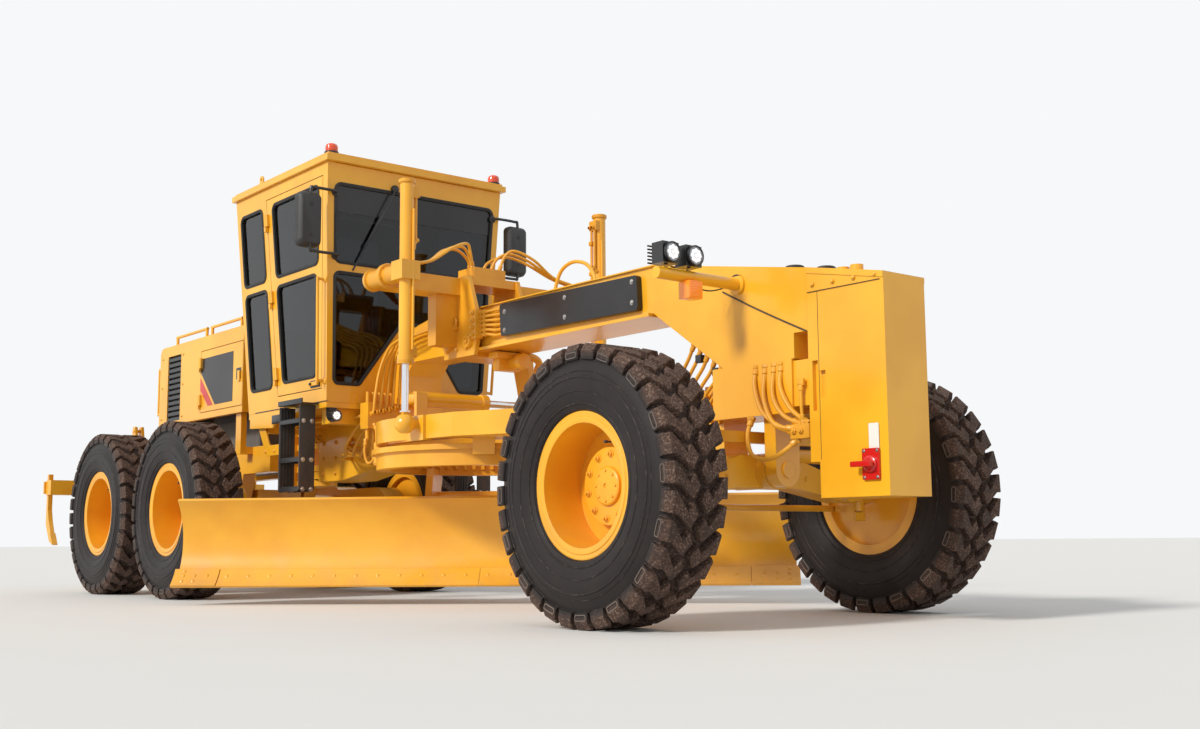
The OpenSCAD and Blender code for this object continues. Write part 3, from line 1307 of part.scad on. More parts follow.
// Centreshift cylinder across the frame, barrel on the drawbar, rod to the saddle's hanger
shift_l = 560;
shift_ball_r = 40;
module shift_barrel() {
    y0 = -shift_hinge_y;
    color(yellow) at_axle() difference() {
        union() {
            rod_x(shift_x - 64, shift_x + 64, y0, shift_z, 40);
            rod_y(y0, y0 + shift_l, shift_x, shift_z, shift_d / 2);
            rod_y(y0 + shift_l - 50, y0 + shift_l, shift_x, shift_z, shift_d / 2 + 8);
        }
        rod_x(shift_x - 65, shift_x + 65, y0, shift_z, 20 + fit);
        rod_y(y0 + 45, y0 + shift_l + 1, shift_x, shift_z, 25 + fit);
    }
}
module shift_rod() {
    color(steel) at_axle() {
        ball_y = shift_eye_y - 40 - seat - shift_ball_r;
        rod_y(-shift_hinge_y + 300, ball_y, shift_x, shift_z, 25);
        translate([shift_x, ball_y, shift_z]) sphere(r = shift_ball_r);
    }
}

// Ripper: square beam on two arms, shanks with their teeth
module ripper() {
    half = ripper_side / 2;
    color(yellow) at_axle() {
        difference() {
            union() {
                block([ripper_x - half, -ripper_l / 2, ripper_z - half],
                    [ripper_x + half, ripper_l / 2, ripper_z + half]);
                both_sides() {
                    rod_y(-395, -335, ripper_hinge_x, ripper_hinge_z, 58);
                    side_plate([[ripper_x + half - 1, ripper_z - 60], [ripper_hinge_x, ripper_hinge_z - 56],
                                [ripper_hinge_x, ripper_hinge_z + 56],
                                    [ripper_x + half - 1, ripper_z + 68]], -395, -335);
                }
                // Cylinder lugs in the middle of the beam
                for (y = [-50, 24]) side_plate([[ripper_x - half, ripper_z + half - 1],
                    [ripper_x + half, ripper_z + half - 1],
                    [ripper_x + 30, ripper_z + half + 130], [ripper_x - 30, ripper_z + half + 130]],
                        y, y + 26);
            }
            both_sides() rod_y(-396, -334, ripper_hinge_x, ripper_hinge_z, ripper_pin_r + fit);
        }
        for (k = [0:shank_count - 1]) {
            y = -ripper_l / 2 + 45 + k * (ripper_l - 90) / (shank_count - 1);
            // Shank with its forward-curved foot and tooth
            side_plate([[ripper_x - half - 48, ripper_z + half + 60], [ripper_x - half - 48, 620],
                [ripper_x - half + 60, 470],
                        [ripper_x - half + 190, 420], [ripper_x - half + 100, 540],
                            [ripper_x - half + 38, 650],
                        [ripper_x - half - seat, 760], [ripper_x - half - seat, ripper_z + half + 60]],
                            y - 20, y + 20);
        }
    }
}

main_frame();
blade_saddle();
front_box();
cab_floor();
cab_shell();
cab_roof();
cab_glass();
operator_seat();
control_console();
ladders();
mirrors();
work_lamps();
valve_bank();
cab_door_right();
door_glass_right();
cab_door_left();
door_glass_left();
rear_frame();
engine_block();
hood();
louvres();
exhaust_stack();
engine_door_right();
engine_door_left();
tandem_right();
tandem_left();
rim_front_right();
tyre_front_right();
rim_front_left();
tyre_front_left();
rim_middle_right();
tyre_middle_right();
rim_middle_left();
tyre_middle_left();
rim_rear_right();
tyre_rear_right();
rim_rear_left();
tyre_rear_left();
front_axle();
lean_bar();
lean_yoke_right();
lean_yoke_left();
knuckle_right();
knuckle_left();
tie_rod();
drawbar_ball();
drawbar();
turning_circle();
tip_bracket();
moldboard();
cutting_edges();
lift_barrel_right();
lift_rod_right();
lift_barrel_left();
lift_rod_left();
shift_barrel();
shift_rod();
ripper();
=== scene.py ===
import math
import bpy
import bmesh
from mathutils import Vector, Matrix
from mathutils.bvhtree import BVHTree


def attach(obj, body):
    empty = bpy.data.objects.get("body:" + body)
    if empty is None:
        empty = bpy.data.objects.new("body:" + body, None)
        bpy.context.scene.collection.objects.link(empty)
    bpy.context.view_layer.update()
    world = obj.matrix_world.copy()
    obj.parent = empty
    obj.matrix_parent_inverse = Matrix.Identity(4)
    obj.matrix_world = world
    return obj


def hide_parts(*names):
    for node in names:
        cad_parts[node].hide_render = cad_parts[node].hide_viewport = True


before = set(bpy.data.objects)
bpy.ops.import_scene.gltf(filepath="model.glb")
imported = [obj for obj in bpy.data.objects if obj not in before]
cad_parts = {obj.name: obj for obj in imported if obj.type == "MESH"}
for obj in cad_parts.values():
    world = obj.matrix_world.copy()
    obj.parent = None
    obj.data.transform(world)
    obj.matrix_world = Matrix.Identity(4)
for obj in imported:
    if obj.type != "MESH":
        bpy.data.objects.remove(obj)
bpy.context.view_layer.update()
print("frame loaded:", len(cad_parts), "nodes")

# The machine's places, in metres, x ahead and y to its left. Many pieces are placed from the front axle.
machine = {
    "axleX": 3.725, "middleX": -1.4325, "rearX": -2.9575, "wheelY": 1.05, "wheelZ": 0.685,
    "circle": (1.155, 0.0), "bladeAngle": 45.0, "bladeShift": -0.04, "beamHalf": 0.15,
}
axleX = machine["axleX"]
xAxis, zAxis = (1, 0, 0), (0, 0, 1)
sides = ((-1, "right"), (1, "left"))
# Stands a flat outline up along the right side: local x ahead, local y up, local z out of it
upright = Matrix(((1, 0, 0, 0), (0, 0, -1, 0), (0, 1, 0, 0), (0, 0, 0, 1)))
# Stands it up across the machine: local x to the left, local y up, local z ahead
facing = Matrix(((0, 0, 1, 0), (1, 0, 0, 0), (0, 1, 0, 0), (0, 0, 0, 1)))
slotNames = {
    "black_plastic": ["plastic", "rubber", "gloss", "redEnamel", "whitePlate", "amber", "redLens"],
    "black_paint": ["blackPaint", "iron"], "bare_steel": ["steel"], "rod_chrome": ["mirrorFace"],
    "yellow_paint": ["paint", "bladePaint", "rimPaint", "castPaint", "hose"],
    "tyre_rubber": ["strap", "tyreMark", "tyreFront", "tyreMiddle", "tyreRear"],
}
slotOf = {look: slotName for slotName, looks in slotNames.items() for look in looks}


def put(bm, name, body, looks, smooth=25.0, bevel=0.0, slotName=None):
    # Turns a bmesh into a piece that rides on a body of the frame; looks are keys of finish
    looks = looks if isinstance(looks, list) else [looks]
    slotName = slotName or slotOf[looks[0]]
    bmesh.ops.remove_doubles(bm, verts=bm.verts, dist=1e-5)
    bmesh.ops.recalc_face_normals(bm, faces=bm.faces)
    mesh = bpy.data.meshes.new(name)
    bm.to_mesh(mesh)
    bm.free()
    piece = bpy.data.objects.new(name, mesh)
    bpy.context.scene.collection.objects.link(piece)
    for look in looks:
        mesh.materials.append(finish[look])
    for p in mesh.polygons:
        p.use_smooth = True
    mesh.set_sharp_from_angle(angle=math.radians(smooth))
    if bevel:
        edge = piece.modifiers.new("edge", "BEVEL")
        edge.width = bevel
        edge.segments = 2
        edge.limit_method = "ANGLE"
        edge.angle_limit = math.radians(40)
        edge.harden_normals = True
    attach(piece, body)
    return piece


def fromAxle(x, y, z):
    return Vector((axleX + x, y, z))


def spread(a, b, count):
    return [a + (b - a) * k / (count - 1) for k in range(count)]


def onCircle(radius, count, start=0.0):
    angles = [start + 2 * math.pi * k / count for k in range(count)]
    return [(radius * math.cos(a), radius * math.sin(a)) for a in angles]


def frameOf(axis):
    # Rotation that turns local z to the axis
    z = Vector(axis).normalized()
    up = Vector(xAxis) if abs(z.z) > 0.98 else Vector(zAxis)
    x = up.cross(z).normalized()
    return Matrix((x, z.cross(x), z)).transposed().to_4x4()


def lathe(bm, profile, at, axis, segments=32, index=0):
    # profile: (radius, height along the axis) pairs
    turn = Matrix.Translation(Vector(at)) @ frameOf(axis)
    rings = []
    for r, h in profile:
        spots = onCircle(r, segments) if r > 1e-6 else [(0, 0)]
        rings.append([bm.verts.new(turn @ Vector((u, v, h))) for u, v in spots])
    for low, high in zip(rings, rings[1:]):
        for k in range(segments if len(low) + len(high) > 2 else 0):
            j = (k + 1) % segments
            if len(low) == 1:
                corners = (low[0], high[k], high[j])
            elif len(high) == 1:
                corners = (low[k], low[j], high[0])
            else:
                corners = (low[k], low[j], high[j], high[k])
            bm.faces.new(corners).material_index = index


def brick(bm, low, high, turn=None, chamfer=0.0, index=0):
    # A block between two corners, its edges chamfered
    made = bmesh.ops.create_cube(bm, size=1.0)["verts"]
    low, high = Vector(low), Vector(high)
    size, mid = high - low, (low + high) / 2
    for v in made:
        v.co = Vector((v.co.x * size.x, v.co.y * size.y, v.co.z * size.z)) + mid
    edges = list({e for v in made for e in v.link_edges})
    faces = list({f for v in made for f in v.link_faces})
    if chamfer:
        got = bmesh.ops.bevel(bm, geom=edges, offset=min(chamfer, min(size) * 0.45), segments=2,
                              profile=0.7, affect="EDGES", clamp_overlap=True)
        made = list({v for f in got["faces"] for v in f.verts} | {v for v in made if v.is_valid})
        faces = list({f for v in made for f in v.link_faces})
    for f in faces:
        f.material_index = index
    if turn is not None:
        for v in made:
            v.co = turn @ v.co
    return made


def extrude(bm, outline, turn, depth):
    # A plate: the outline lies in local x and y, and the plate grows along local z from 0 to depth
    low = [bm.verts.new(turn @ Vector((p[0], p[1], 0))) for p in outline]
    high = [bm.verts.new(turn @ Vector((p[0], p[1], depth))) for p in outline]
    n = len(outline)
    bm.faces.new(low[::-1])
    bm.faces.new(high)
    for k in range(n):
        bm.faces.new((low[k], low[(k + 1) % n], high[(k + 1) % n], high[k]))


def hoop(bm, outer, inner, turn, depth):
    # A flat ring between two outlines of the same length
    n = len(outer)
    rows = [[bm.verts.new(turn @ Vector((p[0], p[1], h))) for p in line]
            for line, h in ((outer, 0), (outer, depth), (inner, depth), (inner, 0))]
    for a, b in zip(rows, rows[1:] + rows[:1]):
        for k in range(n):
            bm.faces.new((a[k], a[(k + 1) % n], b[(k + 1) % n], b[k]))


def smoothPath(points, steps=6):
    # A curve through the points (Catmull-Rom)
    p = [Vector(q) for q in points]
    p = [p[0] * 2 - p[1]] + p + [p[-1] * 2 - p[-2]]
    out = []
    for i in range(1, len(p) - 2):
        for k in range(steps):
            t = k / steps
            out.append(0.5 * ((2 * p[i]) + (p[i + 1] - p[i - 1]) * t
                              + (2 * p[i - 1] - 5 * p[i] + 4 * p[i + 1] - p[i + 2]) * t * t
                              + (3 * p[i] - p[i - 1] - 3 * p[i + 1] + p[i + 2]) * t ** 3))
    return out + [p[-2]]


def tube(bm, path, radius, sides, capped=True):
    # Sweeps a ring along the path
    n = len(path)
    ahead = [(path[min(i + 1, n - 1)] - path[max(i - 1, 0)]).normalized() for i in range(n)]
    side = ahead[0].orthogonal().normalized()
    rings = []
    for i in range(n):
        side = (side - ahead[i] * side.dot(ahead[i])).normalized()
        over = ahead[i].cross(side)
        rings.append([bm.verts.new(path[i] + radius * (side * u + over * v)) for u, v in onCircle(1.0, sides)])
    for a, b in zip(rings, rings[1:]):
        for k in range(sides):
            bm.faces.new((a[k], a[(k + 1) % sides], b[(k + 1) % sides], b[k]))
    if capped:
        bm.faces.new(rings[0][::-1])
        bm.faces.new(rings[-1])


def bolt(bm, at, axis, radius, washer=True):
    # Hexagon head with a chamfered top, standing on a washer
    base = radius * 0.2 if washer else 0.0
    if washer:
        lathe(bm, [(0, 0), (radius * 1.45, 0), (radius * 1.45, base), (0, base)], at, axis, 14)
    lathe(bm, [(0, base), (radius, base), (radius, base + radius * 0.6),
               (radius * 0.82, base + radius * 0.78), (0, base + radius * 0.78)], at, axis, 6)


def block(bm, low, high, chamfer=0.0):
    # A brick whose corners are told from the front axle
    brick(bm, fromAxle(*low), fromAxle(*high), None, chamfer)


def sideBlock(bm, s, low, high, chamfer=0.0):
    # The same on the right (-1) or left (1) side, its corners told for the left
    y0, y1 = sorted((s * low[1], s * high[1]))
    block(bm, (low[0], y0, low[2]), (high[0], y1, high[2]), chamfer)

def boltRing(bm, centre, out, radius, count, start, size, washer=True):
    # Bolts on a circle round an axis that lies along the machine's y
    for u, v in onCircle(radius, count, start):
        bolt(bm, centre + Vector((u, 0, v)), out, size, washer)


def axlePath(bm, points, radius, sides, steps):
    tube(bm, smoothPath([fromAxle(*p) for p in points], steps), radius, sides)


def roundedOutline(points, radius, steps=5):
    # Convex or concave outline with round corners
    out = []
    n = len(points)
    for i in range(n):
        before, at, after = (Vector(points[(i + k) % n]) for k in (-1, 0, 1))
        a, b = (before - at).normalized(), (after - at).normalized()
        half = math.acos(max(-1.0, min(1.0, a.dot(b)))) / 2
        centre = at + (a + b).normalized() * radius / math.sin(half)
        start = at + a * radius / math.tan(half) - centre
        finish = at + b * radius / math.tan(half) - centre
        for k in range(steps + 1):
            out.append(centre + (start * (steps - k) + finish * k).normalized() * radius)
    return out


def grownOutline(points, distance):
    # The outline moved outwards, for points in either order
    n = len(points)
    area = sum(points[i][0] * points[(i + 1) % n][1] - points[(i + 1) % n][0] * points[i][1] for i in range(n))
    way = 1 if area > 0 else -1
    out = []
    for i in range(n):
        before, at, after = (Vector(points[(i + k) % n]) for k in (-1, 0, 1))
        d0, d1 = (at - before).normalized(), (after - at).normalized()
        a, b = Vector((d0.y, -d0.x)) * way, Vector((d1.y, -d1.x)) * way
        out.append(at + (a + b) * distance / (1 + a.dot(b)))
    return out


def newGroup(name, inputs, outputs):
    group = bpy.data.node_groups.new(name, "ShaderNodeTree")
    for label, value in inputs.items():
        socket = group.interface.new_socket(name=label, in_out="INPUT", socket_type="NodeSocketFloat")
        socket.default_value = value
    for label, kind in outputs.items():
        group.interface.new_socket(name=label, in_out="OUTPUT", socket_type="NodeSocket" + kind)
    return group, group.nodes.new("NodeGroupInput").outputs, group.nodes.new("NodeGroupOutput").inputs


def feed(tree, sockets, values):
    # Links outputs to the named sockets, or writes numbers and colours into them
    for key, value in values.items():
        if isinstance(value, bpy.types.NodeSocket):
            tree.links.new(value, sockets[key])
        else:
            sockets[key].default_value = (*value, 1.0) if isinstance(value, tuple) else value


def newNode(tree, kind, values=None, **settings):
    n = tree.nodes.new("ShaderNode" + kind)
    for key, value in settings.items():
        setattr(n, key, value)
    feed(tree, n.inputs, values or {})
    return n


def mathNode(tree, kind, *values, clamp=False):
    return newNode(tree, "Math", dict(enumerate(values)), operation=kind, use_clamp=clamp).outputs[0]


def product(tree, *factors, clamp=False):
    total = factors[0]
    for k, factor in enumerate(factors[1:], 2):
        total = mathNode(tree, "MULTIPLY", total, factor, clamp=clamp and k == len(factors))
    return total


def ramp(tree, value, low, high, toLow=0.0, toHigh=1.0):
    values = {"Value": value, "From Min": low, "From Max": high, "To Min": toLow, "To Max": toHigh}
    return newNode(tree, "MapRange", values, interpolation_type="SMOOTHSTEP").outputs[0]


def noise(tree, vector, scale, detail, rough):
    values = {"Vector": vector, "Scale": scale, "Detail": detail, "Roughness": rough}
    return newNode(tree, "TexNoise", values).outputs["Fac"]


def blend(tree, amount, a, b):
    return newNode(tree, "Mix", {0: amount, 6: a, 7: b}, data_type="RGBA").outputs[2]


def objectPlace(tree):
    return newNode(tree, "TexCoord").outputs["Object"]


def axes(tree, vector):
    return newNode(tree, "SeparateXYZ", {0: vector}).outputs


def scaled(tone, factor, more=0.0):
    return tuple(min(1.0, v * factor + more) for v in tone)


def makeDustGroup():
    # Dry dust: thick near the ground, thin on ledges that face up, broken up by noise
    g, i, o = newGroup("dryDust", {"Amount": 0.5, "Ground Height": 0.9, "Ledges": 0.3, "Scale": 6.0},
                       {"Mask": "Float"})
    spot = objectPlace(g)
    low = ramp(g, axes(g, spot)[2], i["Ground Height"], 0.0)
    up = ramp(g, axes(g, newNode(g, "TexCoord").outputs["Normal"])[2], 0.55, 1.0)
    patches = ramp(g, noise(g, spot, i["Scale"], 6.0, 0.62), 0.36, 0.68)
    speck = ramp(g, noise(g, spot, 150.0, 2.0, 0.7), 0.30, 0.75)
    total = mathNode(g, "ADD", low, product(g, up, i["Ledges"]), clamp=True)
    feed(g, o, {"Mask": product(g, total, mathNode(g, "MULTIPLY_ADD", patches, 0.75, 0.25),
                                mathNode(g, "MULTIPLY_ADD", speck, 0.5, 0.5), i["Amount"], clamp=True)})
    return g


def makeEdgeGroup():
    # Rounded edges in the shading, and a mask along them: where paint has rubbed off, and on the tyres where a
    # painted highlight lies
    g, i, o = newGroup("edgeWearAndHighlight", {"Radius": 0.004, "WearAndHighlight": 0.4}, {"Mask": "Float", "Normal": "Vector"})
    soft = newNode(g, "Bevel", {"Radius": i["Radius"]}, samples=4).outputs[0]
    true = newNode(g, "NewGeometry").outputs["Normal"]
    dot = newNode(g, "VectorMath", {0: soft, 1: true}, operation="DOT_PRODUCT").outputs["Value"]
    broken = ramp(g, noise(g, objectPlace(g), 26.0, 5.0, 0.7), 0.50, 0.66)
    feed(g, o, {"Mask": product(g, ramp(g, dot, 0.992, 0.90), broken, i["WearAndHighlight"], clamp=True), "Normal": soft})
    return g


def makeGrainGroup():
    # Fine unevenness: orange peel in paint, grain in plastic and rubber
    g, i, o = newGroup("fineGrain", {"Scale": 260.0}, {"Height": "Float", "Tone": "Float"})
    spot = objectPlace(g)
    feed(g, o, {"Height": noise(g, spot, i["Scale"], 2.0, 0.5), "Tone": noise(g, spot, 1.7, 3.0, 0.6)})
    return g


def makeWeaveGroup():
    # Woven cloth: two sets of threads
    g, i, o = newGroup("wovenCloth", {"Threads": 900.0}, {"Height": "Float", "Tone": "Float"})
    spot = objectPlace(g)
    waves = [newNode(g, "TexWave", {"Vector": spot, "Scale": i["Threads"]}, wave_type="BANDS",
                     bands_direction=way).outputs["Fac"] for way in ("X", "Z")]
    feed(g, o, {"Height": mathNode(g, "MAXIMUM", *waves), "Tone": noise(g, spot, 40.0, 4.0, 0.6)})
    return g


shared = {"dust": makeDustGroup(), "edge": makeEdgeGroup(), "grain": makeGrainGroup(),
          "weave": makeWeaveGroup()}
dustTone, primerTone = (0.36, 0.20, 0.11), (0.16, 0.11, 0.08)


def effect(tree, key, values):
    return newNode(tree, "Group", values, node_tree=shared[key]).outputs


def dustMask(tree, amount, ground, ledges, scale):
    values = {"Amount": amount, "Ground Height": ground, "Ledges": ledges, "Scale": scale}
    return effect(tree, "dust", values)["Mask"]


def newMaterial(name):
    m = bpy.data.materials.new(name)
    m.use_nodes = True
    return m, m.node_tree, m.node_tree.nodes["Principled BSDF"].inputs


def bump(tree, height, strength, distance, normal=None):
    values = {"Height": height, "Strength": strength, "Distance": distance}
    if normal is not None:
        values["Normal"] = normal
    return newNode(tree, "Bump", values).outputs[0]


def makePaint(name, tone, shade, dust=0.4, ground=0.9, ledges=0.25, wear=0.35, rough=0.30, coat=0.35,
              radius=0.004, peel=0.12):
    # Sprayed paint: two close tones, orange peel, rubbed edges and dust
    m, t, s = newMaterial(name)
    grain, edge = effect(t, "grain", {"Scale": 210.0}), effect(t, "edge", {"Radius": radius, "WearAndHighlight": wear})
    dusty = dustMask(t, dust, ground, ledges, 5.0)
    c = blend(t, ramp(t, grain["Tone"], 0.35, 0.65), shade, tone)
    c = blend(t, dusty, blend(t, edge["Mask"], c, primerTone), dustTone)
    feed(t, s, {"Base Color": c, "Roughness": ramp(t, dusty, 0.0, 0.6, rough, 0.85), "Coat Weight": coat,
                "Coat Roughness": 0.12, "Specular IOR Level": 0.5,
                "Normal": bump(t, grain["Height"], peel, 0.0006, edge["Normal"])})
    return m


def makeBlack(name, tone, rough, scale=420.0, depth=0.35, dust=0.25, ground=0.9, ledges=0.3):
    # Black paint, plastic and rubber, told apart by grain and roughness
    m, t, s = newMaterial(name)
    grain, edge = effect(t, "grain", {"Scale": scale}), effect(t, "edge", {"Radius": 0.003, "WearAndHighlight": 0.15})
    dusty = dustMask(t, dust, ground, ledges, 8.0)
    c = blend(t, ramp(t, grain["Tone"], 0.3, 0.7), tone, scaled(tone, 1.7, 0.006))
    c = blend(t, dusty, blend(t, edge["Mask"], c, (0.10, 0.09, 0.085)), dustTone)
    feed(t, s, {"Base Color": c, "Roughness": ramp(t, dusty, 0.0, 0.6, rough, 0.9),
                "Normal": bump(t, grain["Height"], depth, 0.0006, edge["Normal"])})
    return m


def makeMetal(name, tone, rough, streak, dust=0.1):
    m, t, s = newMaterial(name)
    stretch = newNode(t, "Mapping", {"Vector": objectPlace(t)})
    stretch.inputs["Scale"].default_value = (90, 90, 4)
    marks = noise(t, stretch.outputs[0], 6.0, 3.0, 0.6)
    c = blend(t, ramp(t, marks, 0.4, 0.7, 0.0, streak), tone, scaled(tone, 0.5))
    feed(t, s, {"Base Color": blend(t, dustMask(t, dust, 1.2, 0.5, 12.0), c, dustTone), "Metallic": 1.0,
                "Roughness": ramp(t, marks, 0.3, 0.8, rough, rough + 0.12),
                "Normal": bump(t, effect(t, "grain", {"Scale": 900.0})["Height"], 0.05, 0.0003)})
    return m


def makeGlass(name, tone):
    m, t, s = newMaterial(name)
    dusty = dustMask(t, 0.06, 6.0, 0.3, 3.0)
    feed(t, s, {"Base Color": blend(t, dusty, tone, (0.30, 0.27, 0.24)), "IOR": 1.50,
                "Roughness": ramp(t, dusty, 0.0, 0.12, 0.02, 0.12), "Transmission Weight": 1.0})
    return m


def makeTyre(name, centreX):
    # Tyre rubber: black walls, lug faces and the outer tread full of brown dust, and a painted highlight in light
    # brown along the lugs' edges
    m, t, s = newMaterial(name)
    spot = objectPlace(t)
    cut = axes(t, spot)
    away = [mathNode(t, "SUBTRACT", cut[0], centreX), mathNode(t, "SUBTRACT", cut[2], machine["wheelZ"])]
    radius = mathNode(t, "SQRT", mathNode(t, "ADD", *[product(t, d, d) for d in away]))
    patches, speck = noise(t, spot, 9.0, 6.0, 0.68), noise(t, spot, 230.0, 3.0, 0.75)
    chips, edge = noise(t, spot, 95.0, 3.0, 0.72), effect(t, "edge", {"Radius": 0.006, "WearAndHighlight": 0.9})
    tread = product(t, ramp(t, radius, 0.600, 0.672), ramp(t, patches, 0.30, 0.62, 0.45, 1.0),
                    ramp(t, speck, 0.36, 0.60, 0.25, 1.0), clamp=True)
    c = (0.012, 0.009, 0.009)
    for amount, tone in ((product(t, ramp(t, patches, 0.40, 0.72), 0.16), (0.050, 0.036, 0.030)),
                         (tread, (0.120, 0.068, 0.048)),
                         (product(t, tread, ramp(t, chips, 0.52, 0.62)), (0.27, 0.185, 0.145)),
                         (product(t, tread, ramp(t, chips, 0.46, 0.38)), (0.035, 0.022, 0.018)),
                         # Painted highlight: the edges the edge mask finds turn light brown, where light would
                         # catch the lugs
                         (product(t, edge["Mask"], 0.45), (0.30, 0.22, 0.18))):
        c = blend(t, amount, c, tone)
    relief = product(t, speck, ramp(t, radius, 0.59, 0.67, 0.12, 1.0))
    feed(t, s, {"Base Color": c, "Roughness": ramp(t, tread, 0.0, 0.7, 0.50, 0.95), "Specular IOR Level": 0.28,
                "Normal": bump(t, relief, 0.5, 0.003, edge["Normal"])})
    return m


def makeCloth(name, tone):
    m, t, s = newMaterial(name)
    weave, grain = effect(t, "weave", {"Threads": 320.0}), effect(t, "grain", {"Scale": 60.0})
    c = blend(t, weave["Height"], scaled(tone, 0.55), tone)
    c = blend(t, ramp(t, weave["Tone"], 0.4, 0.7, 0.0, 0.4), c, scaled(tone, 1.8))
    feed(t, s, {"Base Color": c, "Roughness": ramp(t, grain["Tone"], 0.3, 0.7, 0.82, 0.95), "Sheen Weight": 0.3,
                "Normal": bump(t, weave["Height"], 0.5, 0.0008)})
    return m


def makeGlow(name, tone, rough, strength, transmission=0.0):
    # Lamp lenses, with a fine moulded pattern
    m, t, s = newMaterial(name)
    grain = effect(t, "grain", {"Scale": 420.0})
    c = blend(t, ramp(t, grain["Tone"], 0.3, 0.7), tone, scaled(tone, 1.25))
    feed(t, s, {"Base Color": c, "Roughness": ramp(t, grain["Tone"], 0.3, 0.7, rough, rough + 0.06),
                "Coat Weight": 0.6, "Transmission Weight": transmission, "Emission Color": tone,
                "Emission Strength": strength, "Normal": bump(t, grain["Height"], 0.4, 0.001)})
    return m


def makeLampBar(name, topZ, rearX, half):
    # Cross bar on the nose in machine yellow, and the lamps above it and at the cab's corners in black
    m, t, s = newMaterial(name)
    grain, edge = effect(t, "grain", {"Scale": 210.0}), effect(t, "edge", {"Radius": 0.003, "WearAndHighlight": 0.2})
    cut = axes(t, objectPlace(t))
    bar = product(t, mathNode(t, "LESS_THAN", cut[2], topZ), mathNode(t, "GREATER_THAN", cut[0], rearX),
                  mathNode(t, "LESS_THAN", mathNode(t, "ABSOLUTE", cut[1]), half))
    c = blend(t, edge["Mask"], blend(t, bar, (0.013, 0.013, 0.014), yellow), primerTone)
    feed(t, s, {"Base Color": c, "Roughness": 0.32, "Coat Weight": 0.3,
                "Normal": bump(t, grain["Height"], 0.15, 0.0006, edge["Normal"])})
    return m


yellow, yellowShade = (0.90, 0.455, 0.022), (0.82, 0.385, 0.016)
finish = {
    "paint": makePaint("machineYellow", yellow, yellowShade, dust=0.55, ground=0.75, ledges=0.18),
    "bladePaint": makePaint("bladeYellow", (0.88, 0.44, 0.024), (0.80, 0.37, 0.018), dust=0.5, ground=0.55,
                            ledges=0.3, wear=0.5, rough=0.27, peel=0.2),
    "rimPaint": makePaint("rimYellow", (0.88, 0.42, 0.016), (0.80, 0.35, 0.012), dust=0.45, ground=0.8,
                          ledges=0.15, rough=0.36, coat=0.25),
    "castPaint": makePaint("castYellow", (0.86, 0.43, 0.022), (0.74, 0.33, 0.016), dust=0.5, ground=0.9,
                           ledges=0.35, wear=0.4, rough=0.38, peel=0.6, coat=0.2),
    "blackPaint": makeBlack("satinBlack", (0.012, 0.012, 0.013), 0.34),
    "plastic": makeBlack("grainedPlastic", (0.018, 0.018, 0.019), 0.52, 700.0, 0.5),
    "rubber": makeBlack("sealRubber", (0.010, 0.010, 0.010), 0.60, 300.0, 0.3, dust=0.15),
    "strap": makeBlack("strapRubber", (0.016, 0.015, 0.015), 0.66, 200.0, 0.6, dust=0.6, ground=1.6),
    "gloss": makeBlack("decalBlack", (0.010, 0.009, 0.010), 0.22, 900.0, 0.05, dust=0.05),
    "iron": makeBlack("engineIron", (0.060, 0.058, 0.055), 0.62, 160.0, 0.7, dust=0.5, ground=2.0, ledges=0.6),
    "glass": makeGlass("tintedGlass", (0.055, 0.065, 0.075)),
    "chrome": makeMetal("rodChrome", (0.80, 0.82, 0.85), 0.10, 0.15),
    "steel": makeMetal("bareSteel", (0.52, 0.51, 0.50), 0.32, 0.5),
    "mirrorFace": makeMetal("mirrorFace", (0.86, 0.88, 0.90), 0.03, 0.05, dust=0.05),
    "amber": makeGlow("amberLens", (0.95, 0.26, 0.02), 0.14, 0.15),
    "redLens": makeGlow("redLens", (0.65, 0.07, 0.02), 0.14, 0.05),
    "clearLens": makeGlow("clearLens", (0.42, 0.45, 0.50), 0.08, 0.0, 0.30),
    "ledGlow": makeGlow("ledChip", (0.95, 0.97, 1.0), 0.10, 0.6),
    "redEnamel": makePaint("redEnamel", (0.62, 0.012, 0.010), (0.50, 0.008, 0.008), dust=0.2, ground=0.6,
                           wear=0.3),
    "whitePlate": makePaint("blankPlate", (0.82, 0.80, 0.74), (0.74, 0.72, 0.66), dust=0.2, ground=0.6,
                            wear=0.1),
    "hose": makePaint("paintedHose", (0.84, 0.40, 0.020), (0.68, 0.30, 0.014), dust=0.35, ground=1.2,
                      ledges=0.4, wear=0.1, rough=0.5, coat=0.05, radius=0.002, peel=0.8),
    "cloth": makeCloth("seatCloth", (0.035, 0.036, 0.040)),
    "tyreMark": makeBlack("tyreMark", (0.090, 0.080, 0.074), 0.72, 260.0, 0.5, dust=0.5, ground=1.6),
    "lampBar": makeLampBar("lampBarPaint", 1.8195, axleX - 1.0, 0.7445),
}
for label, x in (("Front", axleX), ("Middle", machine["middleX"]), ("Rear", machine["rearX"])):
    finish["tyre" + label] = makeTyre("tyreRubber" + label, x)

